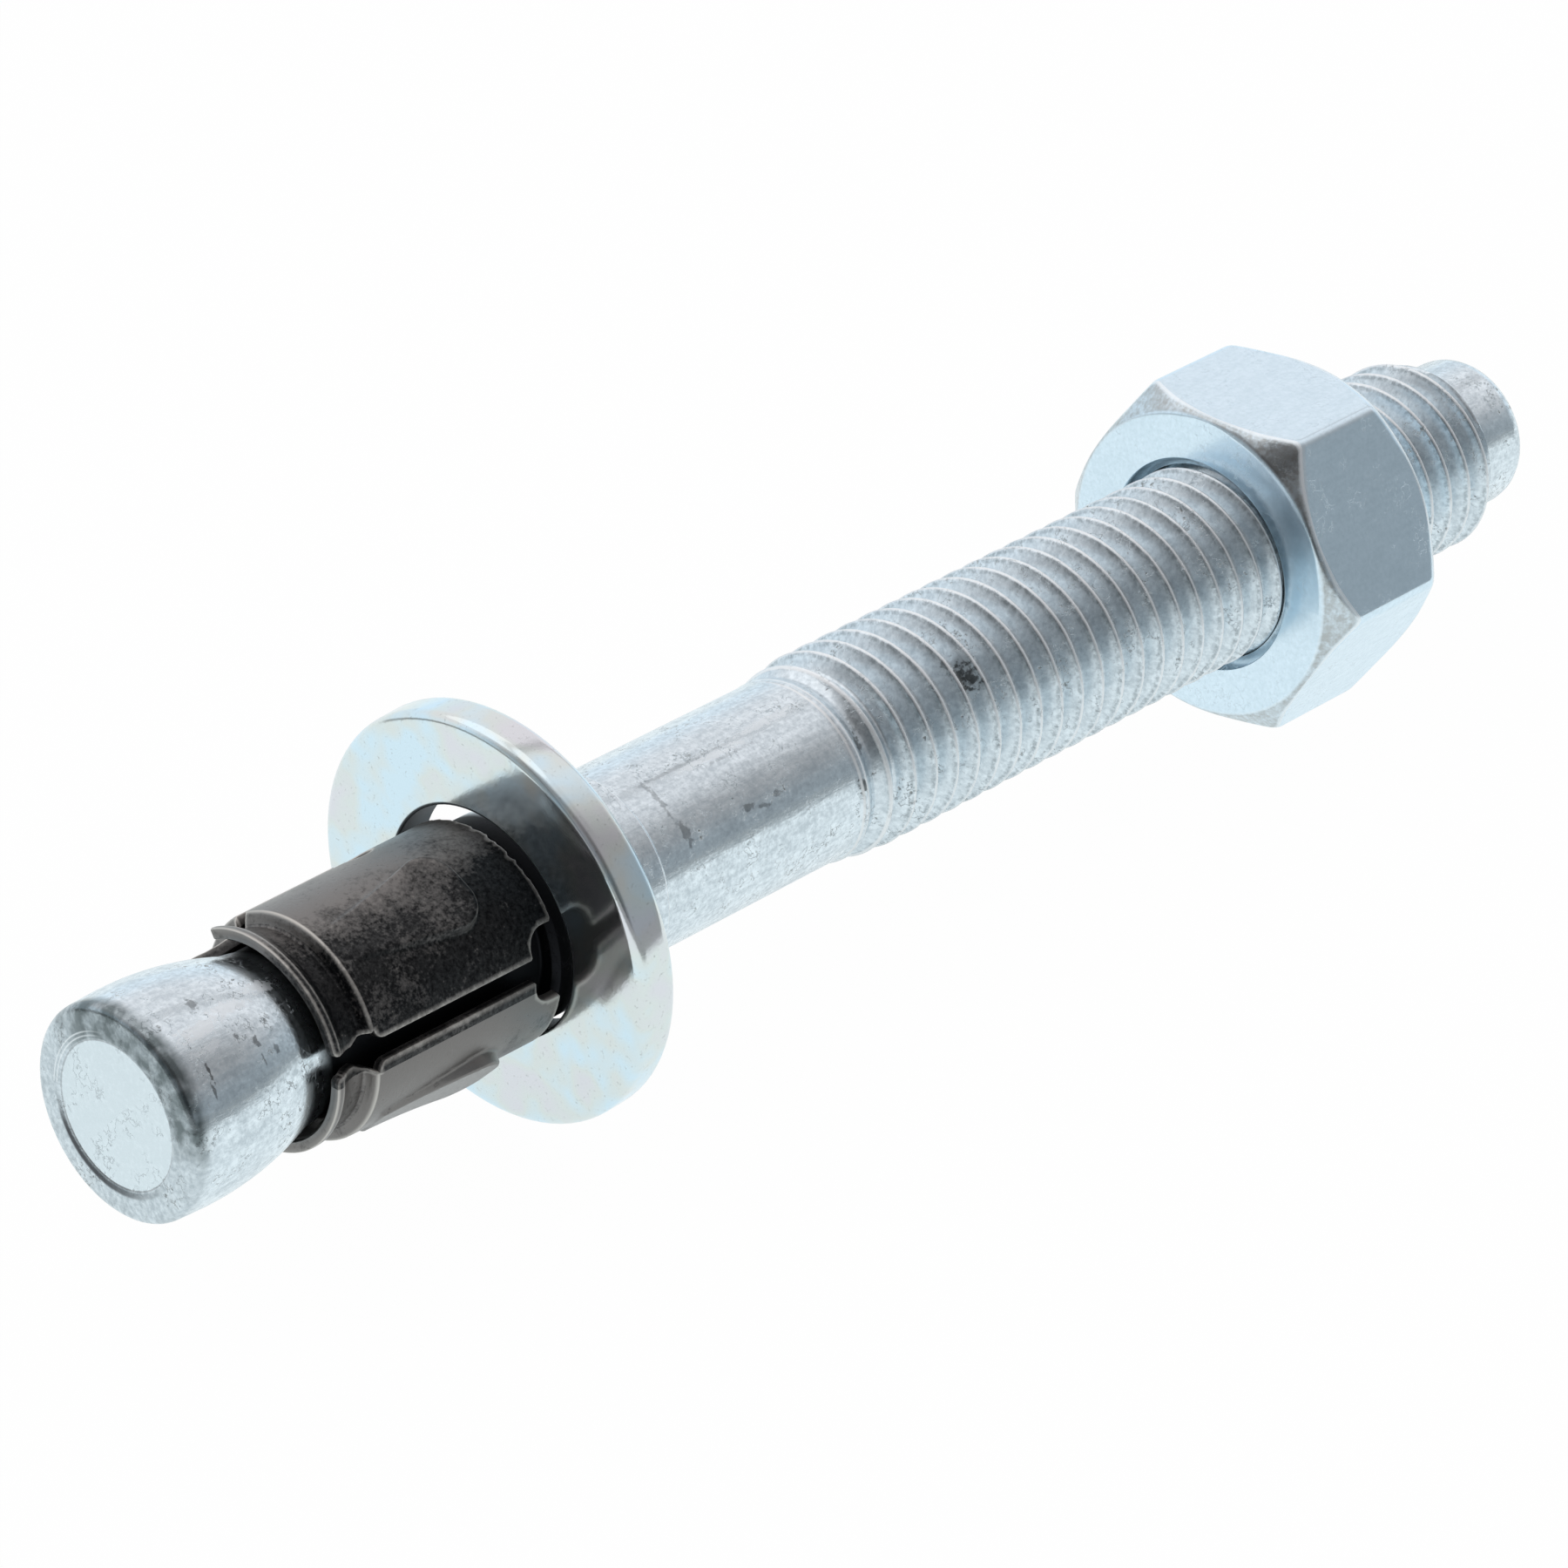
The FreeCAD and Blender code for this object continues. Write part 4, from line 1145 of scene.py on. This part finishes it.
for here, beside in zip(nut_profiles, nut_profiles[1:] + nut_profiles[:1]):
    for number in range(len(here) - 1):
        nut_mesh.faces.new((here[number], beside[number], beside[number + 1], here[number + 1]))

nut_zinc, tree, zinc, grain, mottle, spot = zinc_plating(
    "satin zinc-plated steel", "#E4F4FE", "#D9EAF4", 0.17, 0.21, 0.0008, 0.0012, 0.1)

# Its chamfers kept a browner, rougher skin than its faces
place = add(tree, "ShaderNodeSeparateXYZ", None, {0: spot})
off_axis = add(tree, "ShaderNodeVectorMath", {"operation": "LENGTH"}, {
    0: add(tree, "ShaderNodeCombineXYZ", None, {"Y": place.outputs["Y"], "Z": place.outputs["Z"]})})
into_nut = add(tree, "ShaderNodeMath", {"operation": "SUBTRACT"}, {0: place.outputs["X"], 1: nut_middle})
into_nut = add(tree, "ShaderNodeMath", {"operation": "ABSOLUTE"}, {0: into_nut})
on_cone = add(tree, "ShaderNodeMath", {"operation": "ADD"}, {0: into_nut, 1: off_axis.outputs["Value"]})
cone_at = (nut_rear - nut_front) / 2 + nut_face
off_cone = add(tree, "ShaderNodeMapRange", None, {
    "Value": on_cone, "From Min": cone_at - 0.12, "From Max": cone_at - 0.02})
beyond_face = add(tree, "ShaderNodeMapRange", None, {
    "Value": off_axis.outputs["Value"], "From Min": nut_face - 0.1, "From Max": nut_face + 0.1})
on_chamfer = add(tree, "ShaderNodeMath", {"operation": "MULTIPLY"}, {0: off_cone, 1: beyond_face})
brown_share = add(tree, "ShaderNodeMapRange", None, {
    "Value": mottle, "From Min": 0.8, "From Max": 1.2, "To Min": 0.75, "To Max": 0.3})
brown_share = add(tree, "ShaderNodeMath", {"operation": "MULTIPLY"}, {0: brown_share, 1: on_chamfer})
nut_skin = zinc.inputs["Base Color"].links[0].from_socket
nut_tone = add(tree, "ShaderNodeMix", {"data_type": "RGBA"}, {
    "Factor": brown_share, "A": nut_skin, "B": paint("#A9A7A2")})

# One corner was knocked and stained, at the top on the near side towards the head
knocked_turn = math.radians(120)
bearing = add(tree, "ShaderNodeMath", {"operation": "ARCTAN2"}, {
    0: place.outputs["Z"], 1: place.outputs["Y"]})
off_knock = add(tree, "ShaderNodeMath", {"operation": "SUBTRACT"}, {0: bearing, 1: knocked_turn})
off_knock = add(tree, "ShaderNodeMath", {"operation": "ABSOLUTE"}, {0: off_knock})
off_knock = add(tree, "ShaderNodeMath", {"operation": "MULTIPLY_ADD"}, {
    0: grain.outputs["Fac"], 1: 0.12, 2: off_knock})
knock = add(tree, "ShaderNodeMapRange", {"interpolation_type": "SMOOTHSTEP"}, {
    "Value": off_knock, "From Min": math.radians(14), "From Max": math.radians(6),
    "To Min": 0.0, "To Max": 0.7})
head_side = add(tree, "ShaderNodeMath", {"operation": "LESS_THAN"}, {
    0: place.outputs["X"], 1: nut_middle})
for share in (on_chamfer, head_side):
    knock = add(tree, "ShaderNodeMath", {"operation": "MULTIPLY"}, {0: knock, 1: share})
nut_tone = add(tree, "ShaderNodeMix", {"data_type": "RGBA"}, {
    "Factor": knock, "A": nut_tone.outputs["Result"], "B": paint("#5A5856")})

# The edge between each chamfer and the flats is rubbed to a thin pale line
off_edge = add(tree, "ShaderNodeMath", {"operation": "SUBTRACT"}, {0: on_cone, 1: cone_at - 0.13})
off_edge = add(tree, "ShaderNodeMath", {"operation": "ABSOLUTE"}, {0: off_edge})
edge_line = add(tree, "ShaderNodeMapRange", None, {
    "Value": off_edge, "From Min": 0.03, "From Max": 0.1, "To Min": 0.65, "To Max": 0.0})
edge_line = add(tree, "ShaderNodeMath", {"operation": "MULTIPLY"}, {0: edge_line, 1: beyond_face})
nut_tone = add(tree, "ShaderNodeMix", {"data_type": "RGBA"}, {
    "Factor": edge_line, "A": nut_tone.outputs["Result"], "B": paint("#FBFDFE")})
tree.links.new(nut_tone.outputs["Result"], zinc.inputs["Base Color"])
nut_sheen = zinc.inputs["Roughness"].links[0].from_socket
nut_sheen = add(tree, "ShaderNodeMix", {"data_type": "FLOAT"}, {
    "Factor": edge_line, "A": nut_sheen, "B": 0.5})
tree.links.new(nut_sheen.outputs[0], zinc.inputs["Roughness"])
nut = finish_piece(nut_mesh, "hexagon_nut", nut_zinc, lay_down)
flat_shading = nut.modifiers.new("flat faces shade flat", "WEIGHTED_NORMAL")
flat_shading.keep_sharp = True
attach(nut, "hex_nut")
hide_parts("hex_nut")
